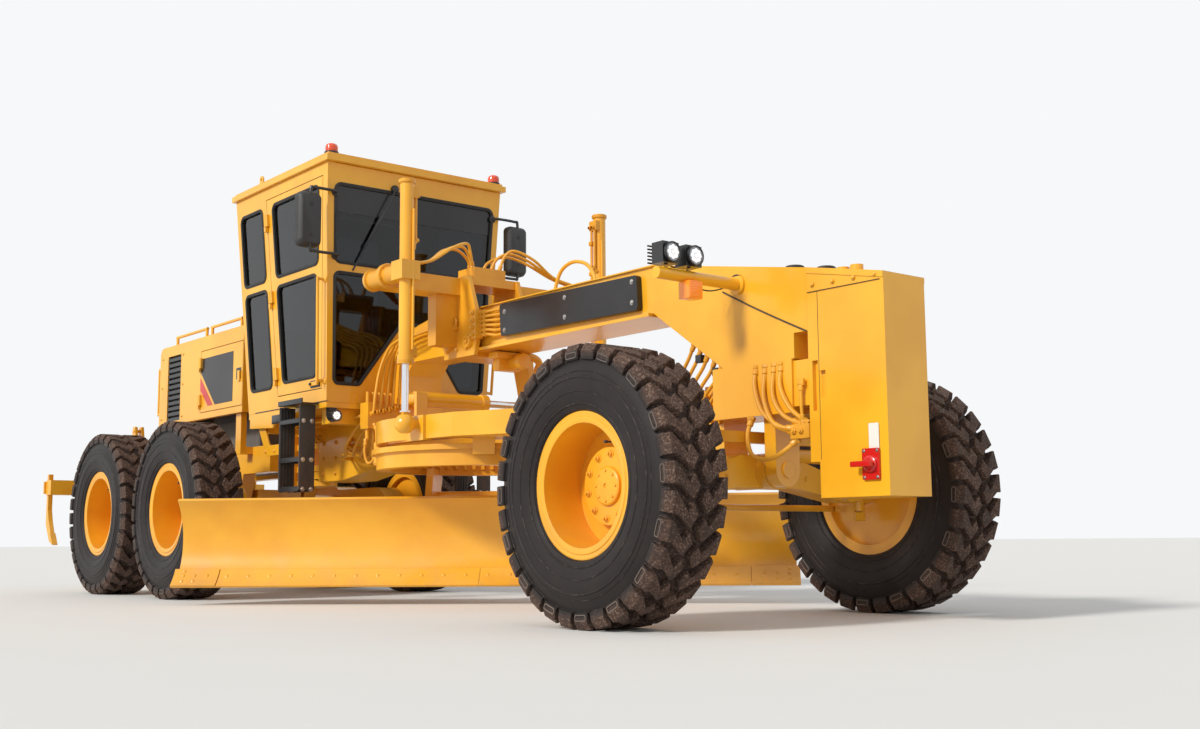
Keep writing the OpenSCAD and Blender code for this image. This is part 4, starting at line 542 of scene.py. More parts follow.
# A name that ends in _ stands for the right and the left node
nodeFinish = {
    "paint": "main_frame front_box cab_floor cab_shell cab_roof cab_door_ hood engine_door_ rear_frame "
             "lift_barrel_ shift_barrel drawbar tandem_",
    "bladePaint": "moldboard cutting_edges",
    "rimPaint": "rim_front_ rim_middle_ rim_rear_",
    "castPaint": "blade_saddle valve_bank front_axle lean_bar lean_yoke_ knuckle_ tie_rod turning_circle "
                 "tip_bracket ripper",
    "blackPaint": "mirrors louvres exhaust_stack", "lampBar": "work_lamps", "strap": "ladders",
    "plastic": "control_console", "glass": "cab_glass door_glass_", "chrome": "lift_rod_ shift_rod",
    "steel": "drawbar_ball", "iron": "engine_block", "cloth": "operator_seat",
    "tyreFront": "tyre_front_", "tyreMiddle": "tyre_middle_", "tyreRear": "tyre_rear_",
}
for key, names in nodeFinish.items():
    for name in names.split():
        for full in (name + "right", name + "left") if name.endswith("_") else (name,):
            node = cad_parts[full]
            if not len(node.material_slots):
                node.data.materials.append(finish[key])
            for slot in node.material_slots:
                slot.material = finish[key]
print("materials on the nodes")

# Stage, lamps and camera
stageSettings = {
    "floorTone": (0.74, 0.74, 0.73),
    "skyTone": (0.93, 0.94, 0.95),
    "fill": 0.62,
    "sunStrength": 2.7,
    "sunFrom": (0.02, -0.86, 0.52),
    "sunAngle": 9.0,
    "sunTone": (1.0, 0.965, 0.90),
    "camera": (8.830, -5.236, 0.419),
    "yaw": 140.83,
    "pitch": 7.18,
    "roll": -0.44,
    "lens": 40.626,
    "shiftY": 0.0049,
}


def buildStage(c):
    bm = bmesh.new()
    bmesh.ops.create_grid(bm, x_segments=1, y_segments=1, size=400)
    mesh = bpy.data.meshes.new("floor")
    bm.to_mesh(mesh)
    bm.free()
    floor = bpy.data.objects.new("floor", mesh)
    bpy.context.scene.collection.objects.link(floor)
    m, t, s = newMaterial("paleFloor")
    tone = blend(t, noise(t, objectPlace(t), 1.3, 4.0, 0.6), c["floorTone"], scaled(c["floorTone"], 1.03))
    feed(t, s, {"Base Color": tone, "Roughness": 0.85})
    mesh.materials.append(m)
    world = bpy.data.worlds.new("studio")
    bpy.context.scene.world = world
    world.use_nodes = True
    t = world.node_tree
    back = t.nodes["Background"]
    feed(t, back.inputs, {"Color": c["skyTone"], "Strength": c["fill"]})
    white = newNode(t, "Background", {"Color": c["skyTone"], "Strength": 1.0})
    rays = newNode(t, "LightPath").outputs
    seen = mathNode(t, "MAXIMUM", rays["Is Camera Ray"], rays["Is Transmission Ray"])
    seen = mathNode(t, "MAXIMUM", seen, rays["Is Glossy Ray"])
    mix = newNode(t, "MixShader", {0: seen, 1: back.outputs[0], 2: white.outputs[0]})
    feed(t, t.nodes["World Output"].inputs, {"Surface": mix.outputs[0]})
    key = bpy.data.lights.new("key", "SUN")
    key.energy = c["sunStrength"]
    key.angle = math.radians(c["sunAngle"])
    key.color = c["sunTone"]
    lamp = bpy.data.objects.new("key", key)
    lamp.rotation_mode = "QUATERNION"
    lamp.rotation_quaternion = Vector(c["sunFrom"]).to_track_quat("Z", "Y")
    bpy.context.scene.collection.objects.link(lamp)


def buildCamera(c):
    yaw, pitch, roll = (math.radians(c[k]) for k in ("yaw", "pitch", "roll"))
    ahead = Vector((math.cos(pitch) * math.cos(yaw), math.cos(pitch) * math.sin(yaw), math.sin(pitch)))
    right = ahead.cross(Vector(zAxis)).normalized()
    up = right.cross(ahead)
    turnedRight = math.cos(roll) * right + math.sin(roll) * up
    turnedUp = -math.sin(roll) * right + math.cos(roll) * up
    data = bpy.data.cameras.new("photoCamera")
    data.lens = c["lens"]
    data.sensor_width = 36.0
    data.sensor_fit = "HORIZONTAL"
    data.shift_y = c["shiftY"]
    data.clip_start, data.clip_end = 0.05, 900
    cam = bpy.data.objects.new("photoCamera", data)
    cam.matrix_world = Matrix.Translation(Vector(c["camera"])) @ Matrix(
        (turnedRight, turnedUp, -ahead)).transposed().to_4x4()
    bpy.context.scene.collection.objects.link(cam)
    bpy.context.scene.camera = cam


buildStage(stageSettings)
buildCamera(stageSettings)
bpy.context.scene.view_settings.view_transform = "Standard"
print("stage and camera")

# Cab: seals, sun strip, wiper, door fittings

cab = {
    "frontX": -3.570, "rearX": -4.850, "halfWidth": 0.685, "floorZ": 1.420, "height": 1.732,
    "lean": 2.3, "rake": 2.98, "rearLean": 0.180, "sill": 0.975, "split": 0.036, "low": 0.175, "high": 1.585,
    "doorX": -4.335, "doorLow": 0.105, "doorHigh": 1.640, "doorLean": 0.098, "post": 0.078, "corner": 0.048,
    "screenSide": 0.056, "screenLean": 0.036, "kneeHalf": 0.430, "keel": (0.095, 0.610),
    "rearHalf": (0.520, 0.540),
    "rearLow": 0.700, "sealDepth": 0.016, "lowCorner": 0.040,
}


def cabFrontAt(h):
    return cab["frontX"] + h * math.tan(math.radians(cab["rake"]))


def cabRearAt(h):
    return cab["rearX"] - h * cab["rearLean"] / cab["height"]


def doorLineAt(h):
    return cab["doorX"] - (h - cab["doorLow"]) * cab["doorLean"]


def sideWall(s):
    # Local x along the wall, local y up it, local z out of it
    m = (Matrix.Translation((axleX, -cab["halfWidth"], cab["floorZ"]))
         @ Matrix.Rotation(math.radians(cab["lean"]), 4, "X")
         @ upright)
    return Matrix.Scale(-1, 4, (0, 1, 0)) @ m if s > 0 else m


def frontWall():
    # Local x to the left, local y up the screen, local z ahead of it
    return (Matrix.Translation((axleX + cab["frontX"], 0, cab["floorZ"]))
            @ Matrix.Rotation(math.radians(cab["rake"]), 4, "Y")
            @ facing)


def rearWall():
    # Local x to the right, local y up, local z behind the cab
    tilt = math.atan(cab["rearLean"] / cab["height"])
    return (Matrix.Translation((axleX + cab["rearX"], 0, cab["floorZ"]))
            @ Matrix.Rotation(-tilt, 4, "Y")
            @ Matrix(((0, 0, -1, 0), (-1, 0, 0, 0), (0, 1, 0, 0), (0, 0, 0, 1))))


def slotOutline(low, high, rear, front):
    def edge(h, side, rearSide):
        if side == "door":
            return doorLineAt(h) + (0.096 if rearSide else -0.082)
        return cabRearAt(h) + side if rearSide else cabFrontAt(h) - side
    return [(edge(low, front, False), low), (edge(high, front, False), high),
            (edge(high, rear, True), high), (edge(low, rear, True), low)]


def screenHalf(h):
    return cab["halfWidth"] - cab["screenSide"] + h * cab["screenLean"]


low, high, sill = cab["low"], cab["high"], cab["sill"]
sillLow, sillHigh, foot = sill - cab["split"], sill + cab["split"], low - 0.040
(keelHalf, keelHigh), (rearSill, rearTop) = cab["keel"], cab["rearHalf"]
windowOutlines = {
    "rearSide": [slotOutline(low, sillLow, 0.070, "door"), slotOutline(sillHigh, high, 0.070, "door")],
    "door": [slotOutline(low + 0.020, sillLow, "door", cab["post"] + 0.082),
             slotOutline(sillHigh, high, "door", cab["post"] + 0.060)],
    "screen": [[(-screenHalf(sill), sillHigh), (screenHalf(sill), sillHigh), (screenHalf(high), high),
                (-screenHalf(high), high)]],
    "lowScreen": [[(-screenHalf(low), foot), (-cab["kneeHalf"], foot), (-keelHalf, keelHigh),
                   (keelHalf, keelHigh), (cab["kneeHalf"], foot), (screenHalf(low), foot),
                   (screenHalf(sill), sillLow), (-screenHalf(sill), sillLow)]],
    "rear": [[(-rearSill, cab["rearLow"]), (rearSill, cab["rearLow"]), (rearTop, high), (-rearTop, high)]],
}

sealSettings = {"outside": 0.011, "inside": 0.013, "proud": 0.005, "lock": 0.0035}


def windowSeals(c):
    # Rubber strip round each window: a broad lip and a narrow locking bead on it
    rows = [("rear_side_seals_" + side, [(sideWall(s), "rearSide")], "front_frame") for s, side in sides]
    rows += [("door_seals_" + side, [(sideWall(s), "door")], "cab_door_" + side) for s, side in sides]
    rows += [("screen_seals", [(frontWall(), "screen"), (frontWall(), "lowScreen"), (rearWall(), "rear")],
              "front_frame")]
    for name, walls, body in rows:
        bm = bmesh.new()
        for wall, key in walls:
            for outline in windowOutlines[key]:
                def line(d):
                    r = cab["corner"] + d if key != "lowScreen" else max(0.018, cab["lowCorner"] + d)
                    return roundedOutline(grownOutline(outline, d), r)
                hoop(bm, line(c["outside"]), line(-c["inside"]),
                     wall @ Matrix.Translation((0, 0, -cab["sealDepth"])), cab["sealDepth"] + c["proud"])
                hoop(bm, line(0.002), line(-0.004), wall @ Matrix.Translation((0, 0, c["proud"] - 0.001)),
                     c["lock"])
        put(bm, name, body, "rubber", 40, 0.0015)


windowSeals(sealSettings)

sunStrip = {"depth": 0.205, "gap": 0.0015, "thick": 0.001, "inset": 0.002, "corner": 0.030}


def screenSunStrip(c):
    # Black band behind the top of the windscreen's lip, left plain
    low, high = cab["high"] - c["depth"], cab["high"] - c["inset"]
    foot, head = screenHalf(low) - c["inset"], screenHalf(cab["high"]) - c["inset"]
    outline = roundedOutline([(-foot, low), (foot, low), (head, high), (-head, high)], c["corner"], 6)
    bm = bmesh.new()
    extrude(bm, outline, frontWall() @ Matrix.Translation((0, 0, -0.014 + c["gap"])), c["thick"])
    put(bm, "sun_strip", "front_frame", "gloss")


screenSunStrip(sunStrip)

wiperSettings = {"pivot": (-0.20, 1.610), "tip": (-0.44, 1.125), "bladeHalf": 0.24, "arm": 0.006}


def wipers(c):
    bm = bmesh.new()
    wall = frontWall()

    def at(p, out):
        return wall @ Vector((*p, out))
    ahead = wall.to_3x3() @ Vector(zAxis)
    pivot, tip = Vector(c["pivot"]), Vector(c["tip"])
    lathe(bm, [(0, 0), (0.030, 0), (0.030, 0.020), (0.022, 0.030), (0.012, 0.034), (0, 0.034)],
          at(pivot, 0.0), ahead, 20)
    tube(bm, smoothPath([at(pivot, 0.024), at(pivot.lerp(tip, 0.3), 0.036), at(pivot.lerp(tip, 0.7), 0.024),
                         at(tip + Vector((0, 0.02)), 0.010)], 4), c["arm"], 6)
    along = (tip - pivot).normalized()
    mid = tip - along * 0.06
    tube(bm, [at(mid + along * c["bladeHalf"] * k, 0.004) for k in (-1, 0, 1)], 0.007, 6)
    for k in (-0.7, 0.7):
        tube(bm, [at(mid + along * c["bladeHalf"] * k, 0.004), at(mid + along * 0.04 * k, 0.018)], 0.004, 6)
    put(bm, "wiper", "front_frame", "blackPaint")


wipers(wiperSettings)

doorSettings = {"gasket": (0.0058, 0.0012), "gasketDepth": 0.024, "latch": (0.075, 0.116, 0.168),
                "feet": (0.160, 0.890)}


def doorFittings(c):
    # Door gap's rubber line, the latch's push button and the lock plate
    for s, side in sides:
        wall = sideWall(s)
        outline = [(cabFrontAt(cab["doorLow"]) - cab["post"], cab["doorLow"]),
                   (cabFrontAt(cab["doorHigh"]) - cab["post"], cab["doorHigh"]),
                   (doorLineAt(cab["doorHigh"]), cab["doorHigh"]), (doorLineAt(cab["doorLow"]), cab["doorLow"])]
        bm = bmesh.new()
        hoop(bm, *(grownOutline(outline, out) for out in c["gasket"]),
             wall @ Matrix.Translation((0, 0, -0.030)), c["gasketDepth"])
        put(bm, "door_gasket_" + side, "front_frame", "rubber")
        bm = bmesh.new()
        x = cabFrontAt(0.13) - cab["post"] - 0.09
        half, low, high = c["latch"]
        out = wall.to_3x3() @ Vector(zAxis)
        lathe(bm, [(0, 0), (0.011, 0), (0.011, 0.008), (0.008, 0.012), (0, 0.012)],
              wall @ Vector((x - 0.035, 0.142, 0.022)), out, 16)
        brick(bm, (x - half, low, 0), (x + half, high, 0.004), wall, 0.003)
        put(bm, "door_latch_" + side, "cab_door_" + side, "blackPaint")
        bm = bmesh.new()
        for h in c["feet"]:
            p = wall @ Vector((cabFrontAt(h) - 0.030, h - 0.01, 0.0))
            lathe(bm, [(0, 0), (0.026, 0), (0.026, 0.006), (0.020, 0.010), (0.011, 0.014), (0.011, 0.030)], p,
                  out, 20)
        put(bm, "grab_bar_feet_" + side, "front_frame", "paint")


doorFittings(doorSettings)
print("cab fittings")

# Lamps and beacons

lampSettings = {
    "x": 0.087, "z": 1.880, "rows": (0.505, 0.665), "radius": 0.047, "chip": 0.0085,
    "corner": (-3.530, 0.625, 1.320), "cornerRadius": 0.036, "cornerChip": 0.0065,
    "lensY": 0.515, "lens": ((0.020, 0.0475, 1.6525), (0.0995, 0.0475, 1.7465)), "lensRibs": 7,
    "beaconZ": 3.2155,
}


def ledFace(bm, at, axis, radius, chip):
    # Bezel, bowl and a cluster of light chips; material 0 black, 1 clear, 2 chips
    turn = Matrix.Translation(Vector(at)) @ frameOf(axis)
    lathe(bm, [(radius * 1.16, -0.004), (radius * 1.16, 0.007), (radius * 1.04, 0.009), (radius, 0.004)], at,
          axis, 36, 0)
    lathe(bm, [(radius, 0.003), (radius * 0.7, 0.0045), (0, 0.005)], at, axis, 36, 1)
    for u, v in [(0, 0)] + onCircle(radius * 0.56, 8):
        p = turn @ Vector((u, v, 0.004))
        lathe(bm, [(0, 0), (chip * 1.35, 0), (chip * 1.35, 0.003), (chip, 0.004), (chip * 0.6, 0.007),
                   (0, 0.008)], p, axis, 12, 2)


def lamps(c):
    bm = bmesh.new()
    for s in (-1, 1):
        for y in c["rows"]:
            at = Vector((axleX + c["x"], s * y, c["z"]))
            ledFace(bm, at, xAxis, c["radius"], c["chip"])
            for k in range(6):
                brick(bm, at + Vector((-0.140, -0.05, -0.046 + k * 0.018)),
                      at + Vector((-0.131, 0.05, -0.038 + k * 0.018)), None, 0.002)
        x, y, z = c["corner"]
        ledFace(bm, fromAxle(x, s * y, z), xAxis, c["cornerRadius"], c["cornerChip"])
    put(bm, "lamp_faces", "front_frame", ["blackPaint", "clearLens", "ledGlow"], 40)
    bm = bmesh.new()
    for s in (-1, 1):
        y, ((x0, half, low), (x1, half, high)) = s * c["lensY"], c["lens"]
        block(bm, (x0, y - half, low), (x1, y + half, high), 0.010)
        for k in range(c["lensRibs"]):
            z = low + 0.0115 + k * 0.0125
            block(bm, (x1 - 0.0005, y - 0.040, z), (x1 + 0.0017, y + 0.040, z + 0.006), 0.001)
    put(bm, "direction_lenses", "front_frame", "amber", 40)
    bm = bmesh.new()
    roofFront = cabFrontAt(cab["height"]) + 0.040
    top = cab["halfWidth"] + cab["height"] * math.tan(math.radians(cab["lean"])) + 0.026
    for s in (-1, 1):
        at = (axleX + roofFront - 0.070, s * (top - 0.070), c["beaconZ"])
        lathe(bm, [(0, 0), (0.052, 0), (0.052, 0.012), (0.047, 0.016), (0, 0.016)], at, zAxis, 28, 0)
        lathe(bm, [(0, 0.016), (0.045, 0.016), (0.045, 0.054), (0.040, 0.067), (0.024, 0.076), (0, 0.078)],
              at, zAxis, 28, 1)
        for k in range(4):
            lathe(bm, [(0.0448, 0.020 + k * 0.008), (0.0465, 0.022 + k * 0.008), (0.0448, 0.024 + k * 0.008)],
                  at, zAxis, 28, 1)
    put(bm, "roof_beacons", "front_frame", ["blackPaint", "redLens"], 40, 0.0, "black_plastic")


lamps(lampSettings)
print("lamps")

# Wheels: nuts, caps, lock rings, valve stems and sidewall ribs

wheelSettings = {
    "spots": {row + "_" + side: (machine[key], s)
              for row, key in (("front", "axleX"), ("middle", "middleX"), ("rear", "rearX")) for s, side in sides},
    "nuts": 10, "nut": 0.015, "frontNutCircle": 0.158, "rearNutCircle": 0.222, "frontHub": 0.095, "rearHub": 0.078,
    "face": -0.023, "disc": -0.085, "flangeFace": 0.146, "stemRadius": 0.292, "stemAngle": 0.9,
    "ribs": [(0.392, 0.0040, 0.006), (0.452, 0.0030, 0.004), (0.520, 0.0040, 0.007), (0.548, 0.0025, 0.003)],
}


def sidewallY(radius):
    # Outer face of the tyre's wall, an arc, from the wheel's centre plane
    arc, middle, widest = 0.330, 0.490, 0.187
    return math.sqrt(arc ** 2 - (radius - middle) ** 2) - (arc - widest)


def tyreLook(name):
    return "tyre" + name.split("_")[0].capitalize()


def wheelFittings(c):
    for name, (x, side) in c["spots"].items():
        front = name.startswith("front")
        centre = Vector((x, side * machine["wheelY"], machine["wheelZ"]))
        out = Vector((0, side, 0))
        bm = bmesh.new()
        ring = c["frontNutCircle"] if front else c["rearNutCircle"]
        face = c["face"] if front else c["disc"]
        for u, v in onCircle(ring, c["nuts"], 0.2):
            p = centre + Vector((u, side * face, v))
            bolt(bm, p, out, c["nut"])
            lathe(bm, [(0, 0.010), (c["nut"] * 0.45, 0.010), (c["nut"] * 0.45, 0.024), (0, 0.025)], p, out, 10)
        hub = c["frontHub"] if front else c["rearHub"]
        lathe(bm, [(hub, -0.001), (hub, 0.014), (hub - 0.008, 0.020), (0.030, 0.024), (0.012, 0.024),
                   (0.012, 0.018), (0, 0.018)], centre + out * c["face"], out, 40)
        boltRing(bm, centre + out * (c["face"] + 0.0215), out, hub * 0.78, 8, 0.0, 0.007, False)
        # Split lock ring and bead ring on the outer flange
        f = c["flangeFace"]
        lathe(bm, [(0.357, f - 0.002), (0.3575, f + 0.004), (0.350, f + 0.006), (0.336, f + 0.002),
                   (0.333, f + 0.002), (0.330, f + 0.006), (0.312, f + 0.006), (0.3005, f + 0.001),
                   (0.300, f - 0.004)], centre, out, 96)
        put(bm, "rim_fittings_" + name, "wheel_" + name, "rimPaint", 30)
        bm = bmesh.new()
        inwards = -Vector((math.cos(c["stemAngle"]), 0, math.sin(c["stemAngle"])))
        stem = centre - inwards * c["stemRadius"] + out * 0.055
        tube(bm, smoothPath([stem - inwards * 0.012, stem + inwards * 0.020,
                             stem + inwards * 0.034 + out * 0.030, stem + inwards * 0.036 + out * 0.062], 4),
                             0.005, 8)
        lathe(bm, [(0, 0), (0.0075, 0), (0.0075, 0.016), (0.006, 0.019), (0, 0.019)],
              stem + inwards * 0.036 + out * 0.060, out, 10)
        put(bm, "valve_stem_" + name, "wheel_" + name, "strap", 35)
        bm = bmesh.new()
        for r, tall, wide in c["ribs"]:
            for s in (1, -1):
                y = sidewallY(r)
                lathe(bm, [(r - wide, sidewallY(r - wide) - 0.001), (r - wide * 0.4, y + tall),
                           (r + wide * 0.4, y + tall), (r + wide, sidewallY(r + wide) - 0.001)], centre,
                           out * s, 96)
        put(bm, "sidewall_ribs_" + name, "wheel_" + name, tyreLook(name), 35)


wheelFittings(wheelSettings)
print("wheel fittings")

# Panels, plates and small parts on the right side

beamPanel = {"outline": [(-2.118, 1.756), (-0.738, 1.741), (-0.750, 1.950), (-2.136, 1.972)], "corner": 0.022,
             "out": 0.040, "pipes": 6, "pipeRadius": 0.0105, "screwX": (-2.075, -1.430, -0.790),
             "screwZ": (1.792, 1.915)}


def beamCover(c):
    # Black cover over the pipes on the beam's side, its screws, and the pipes that run into its back end
    turn = Matrix.Translation((axleX, -machine["beamHalf"] - 0.0005, 0)) @ upright
    bm = bmesh.new()
    extrude(bm, roundedOutline(c["outline"], c["corner"]), turn, c["out"])
    put(bm, "beam_cover", "front_frame", "gloss", 40, 0.003, "black_paint")
    bm = bmesh.new()
    for x in c["screwX"]:
        for z in c["screwZ"]:
            p = turn @ Vector((x, z, c["out"]))
            lathe(bm, [(0, 0), (0.016, 0), (0.016, 0.002), (0.010, 0.002), (0.009, 0.008), (0.004, 0.010),
                       (0, 0.010)], p, (0, -1, 0), 14)
    put(bm, "beam_cover_screws", "front_frame", "steel")
    bm = bmesh.new()
    y = -machine["beamHalf"] - 0.022
    for k, z in enumerate(spread(1.775, 1.945, c["pipes"])):
        rear = fromAxle(-2.325, y - 0.030, 1.790 + 0.030 * k)
        tube(bm, smoothPath([rear, fromAxle(-2.26, y - 0.026, 1.788 + 0.0305 * k),
                             fromAxle(-2.19, y - 0.006, z), fromAxle(-2.10, y, z)], 5), c["pipeRadius"], 8)
        for p in (rear, fromAxle(-2.285, y - 0.030, 1.789 + 0.030 * k)):
            lathe(bm, [(0, -0.008), (0.017, -0.008), (0.017, 0.010), (0.013, 0.012), (0, 0.012)], p, xAxis, 6)
    put(bm, "beam_pipes", "front_frame", "hose")
    bm = bmesh.new()
    block(bm, (-2.395, -0.245, 1.765), (-2.332, -0.182, 1.965), 0.006)
    for z in spread(1.79, 1.94, 4):
        lathe(bm, [(0, 0), (0.018, 0), (0.018, 0.010), (0.012, 0.014), (0.012, 0.022), (0, 0.022)],
              fromAxle(-2.365, -0.245, z), (0, -1, 0), 6)
    block(bm, (-2.40, -0.185, 1.80), (-2.34, -0.1505, 1.93), 0.004)
    put(bm, "beam_manifold", "front_frame", "castPaint")


beamCover(beamPanel)

isolatorSettings = {"plate": (0.845, 0.698, 0.970, 0.848), "y": -0.1605}


def isolator(c):
    # Red battery switch at the box's lower corner, and the blank label above it
    x0, z0, x1, z1 = c["plate"]
    turn = Matrix.Translation((axleX, c["y"] + 0.0005, 0)) @ upright
    bm = bmesh.new()
    extrude(bm, roundedOutline([(x0 + 0.022, z0), (x1, z0), (x1, z1), (x0 + 0.022, z1)], 0.008), turn, 0.010)
    lathe(bm, [(0, 0), (0.040, 0), (0.040, 0.012), (0.034, 0.016), (0.020, 0.018), (0.020, 0.034), (0, 0.034)],
          turn @ Vector((x0 + 0.075, (z0 + z1) / 2, 0.010)), (0, -1, 0), 32)
    brick(bm, (x0 - 0.012, -0.014, 0.038), (x0 + 0.112, 0.014, 0.062),
          turn @ Matrix.Translation((0, (z0 + z1) / 2, 0)), 0.008)
    put(bm, "battery_switch", "front_frame", "redEnamel", 35)
    bm = bmesh.new()
    for x in (x0 + 0.034, x1 - 0.012):
        for z in (z0 + 0.012, z1 - 0.012):
            bolt(bm, turn @ Vector((x, z, 0.010)), (0, -1, 0), 0.006)
    put(bm, "battery_switch_screws", "front_frame", "steel")
    bm = bmesh.new()
    extrude(bm, roundedOutline([(0.905, 0.835), (0.967, 0.835), (0.967, 0.968), (0.905, 0.968)], 0.006), turn,
            0.0012)
    put(bm, "blank_label", "front_frame", "whitePlate", 35)


isolator(isolatorSettings)

hoodSettings = {
    "decal": [(-6.270, 2.030), (-5.585, 2.030), (-5.585, 1.606), (-5.945, 1.606), (-6.250, 1.905)],
    "stripe": [(-6.262, 1.868), (-5.985, 1.606), (-6.090, 1.606), (-6.262, 1.760)],
    "patch": [(-5.520, 1.780), (-5.425, 1.780), (-5.425, 1.875), (-5.520, 1.875)],
}


def hoodDecal(c):
    # Dark field with a red stripe on the right engine door, without letters
    turn = Matrix.Translation((axleX, -0.5001, 0)) @ upright
    for name, key, look in (("door_field", "decal", "gloss"), ("door_stripe", "stripe", "redEnamel"),
                            ("door_patch", "patch", "gloss")):
        bm = bmesh.new()
        extrude(bm, roundedOutline(c[key], 0.004, 3), turn, 0.0012)
        put(bm, name, "engine_door_right", look, 35)


hoodDecal(hoodSettings)


boxSettings = {"seams": [((0.535, 0.1592, 1.6555), (1.000, 0.1608, 1.6590)),
                         ((0.5985, 0.1558, 0.810), (0.6010, 0.1570, 1.655))], "bolts": (0.570, 0.970, 4),
                         "side": 0.160}


def boxFittings(c):
    # Seams of the box's cover and side panel, and the cover's bolts
    bm = bmesh.new()
    for s in (-1, 1):
        for low, high in c["seams"]:
            sideBlock(bm, s, low, high)
    put(bm, "box_seams", "front_frame", "rubber")
    bm = bmesh.new()
    for s in (-1, 1):
        for x in spread(*c["bolts"]):
            bolt(bm, fromAxle(x, s * c["side"], 1.685 + (0.98 - x) * 0.02), (0, s, 0), 0.009)
    put(bm, "box_bolts", "front_frame", "paint")


boxFittings(boxSettings)
print("panels and plates")

# Bolts on the blade, frames and axles


def bladeFrame():
    # Local x ahead of the moldboard, y along it, as the CAD draws it
    cx, cy = machine["circle"]
    return (Matrix.Translation((cx, cy, 0)) @ Matrix.Rotation(math.radians(-machine["bladeAngle"]), 4, "Z")
            @ Matrix.Translation((0, machine["bladeShift"], 0)))


bladeSettings = {"arcRadius": 0.413, "halfArc": 43.5, "edgeDrop": 6.0, "edgeHeight": 0.152, "edgeZ": 0.120,
                 "length": 4.267, "edge": 0.016, "bolt": 0.0125, "pitch": 0.1524}


def bladeBolts(c):
    # Flush bolts through the edges, drawn as round heads in front; and heads in the end bits' extra holes
    turn = bladeFrame()
    arcX = c["arcRadius"] * math.cos(math.radians(c["halfArc"]))
    arcZ = c["edgeZ"] + (c["arcRadius"] - 0.0003) * math.sin(math.radians(c["halfArc"] + c["edgeDrop"]))
    low = -c["halfArc"] - c["edgeDrop"]
    span = math.degrees(c["edgeHeight"] / c["arcRadius"])

    def onFace(share, y, thick):
        a = math.radians(low + span * share)
        r = c["arcRadius"] - thick
        p = Vector((arcX - r * math.cos(a), y, arcZ + r * math.sin(a)))
        return turn @ p, turn.to_3x3() @ Vector((math.cos(a), 0, -math.sin(a)))
    bm = bmesh.new()
    half = c["length"] / 2
    y = -half + 0.36
    while y < half - 0.34:
        p, out = onFace(0.62, y, c["edge"] + 0.0003)
        lathe(bm, [(0, -0.002), (c["bolt"], -0.002), (c["bolt"] * 0.96, 0.002), (c["bolt"] * 0.5, 0.004),
                   (0, 0.004)], p, out, 14)
        y += c["pitch"]
    for s in (-1, 1):
        for share, d in ((0.62, 0.05), (0.62, 0.13), (0.62, 0.22), (0.30, 0.05), (0.86, 0.05), (0.30, 0.13)):
            p, out = onFace(share, s * (half - d), c["edge"] + 0.0063)
            lathe(bm, [(0, -0.002), (c["bolt"] * 1.1, -0.002), (c["bolt"], 0.002), (c["bolt"] * 0.5, 0.005),
                       (0, 0.005)], p, out, 14)
    put(bm, "edge_bolts", "moldboard", "bladePaint")


bladeBolts(bladeSettings)


boltSettings = {
    "cheek": [(-2.72, 1.72), (-2.60, 1.72), (-2.48, 1.72), (-2.72, 2.16), (-2.60, 2.16)], "cheekY": 0.2165,
    "hitch": [(x, z) for x in (-4.62, -4.42) for z in (0.96, 1.08, 1.20)], "hitchY": 0.150,
    "tandemCircle": 0.155, "tandemY": 0.840, "ballCircle": 0.088, "ball": (-1.930, 0.0, 1.330),
}


def frameBolts(c):
    # Each group is one piece: place, axis and radius of its bolts
    groups = {name: [] for name in ("front_frame", "rear_frame", "drawbar", "front_axle", "tandem_right",
                                    "tandem_left")}
    for s, side in sides:
        out = (0, s, 0)
        groups["front_frame"] += [(fromAxle(x, s * c["cheekY"], z), out, 0.014) for x, z in c["cheek"]]
        groups["front_frame"] += [(fromAxle(x, s * c["hitchY"], z), out, 0.014) for x, z in c["hitch"]]
        groups["tandem_" + side] += [(Vector((x + u, s * c["tandemY"], machine["wheelZ"] + v)), out, 0.011)
                                     for x in (machine["middleX"], machine["rearX"])
                                     for u, v in onCircle(c["tandemCircle"], 10)]
        groups["rear_frame"] += [(fromAxle(x, s * 0.350, 1.19), out, 0.011) for x in spread(-6.9, -5.5, 9)]
        groups["rear_frame"] += [(fromAxle(-7.600, s * 0.56, z), (-1, 0, 0), 0.014) for z in (0.93, 1.10, 1.30)]
        groups["front_axle"] += [(fromAxle(0.080, s * y, 0.745), xAxis, 0.010) for y in (0.30, 0.45)]
    groups["drawbar"] += [(fromAxle(*c["ball"]) + Vector((u, v, 0)), zAxis, 0.010)
                          for u, v in onCircle(c["ballCircle"], 8)]
    for body, spots in groups.items():
        bm = bmesh.new()
        for p, axis, r in spots:
            bolt(bm, p, axis, r)
        put(bm, "bolts_" + body, body, "castPaint", 30)


frameBolts(boltSettings)
print("bolts")

# Tyres with a hooked chevron tread, which stand for the plain ones

treadSettings = {
    "lugs": 32, "radius": 0.6848, "shoulder": 0.648, "low": 0.606, "foot": 0.598, "base": 0.636, "half": 0.1850,
    "outline": [(-0.084, 0.163), (-0.084, 0.146), (0.010, 0.070), (-0.030, 0.038), (0.025, 0.006),
                (0.084, 0.046), (0.016, 0.132), (0.016, 0.163)],
    "draft": 0.005, "bead": [(0.335, 0.128), (0.356, 0.1465)], "wall": (0.366, 0.636, 22), "edge": (0.6435, 0.140),
    "frame": [(-0.079, 0.612), (0.011, 0.612), (0.011, 0.643), (-0.079, 0.643)], "rim": 0.0045,
}


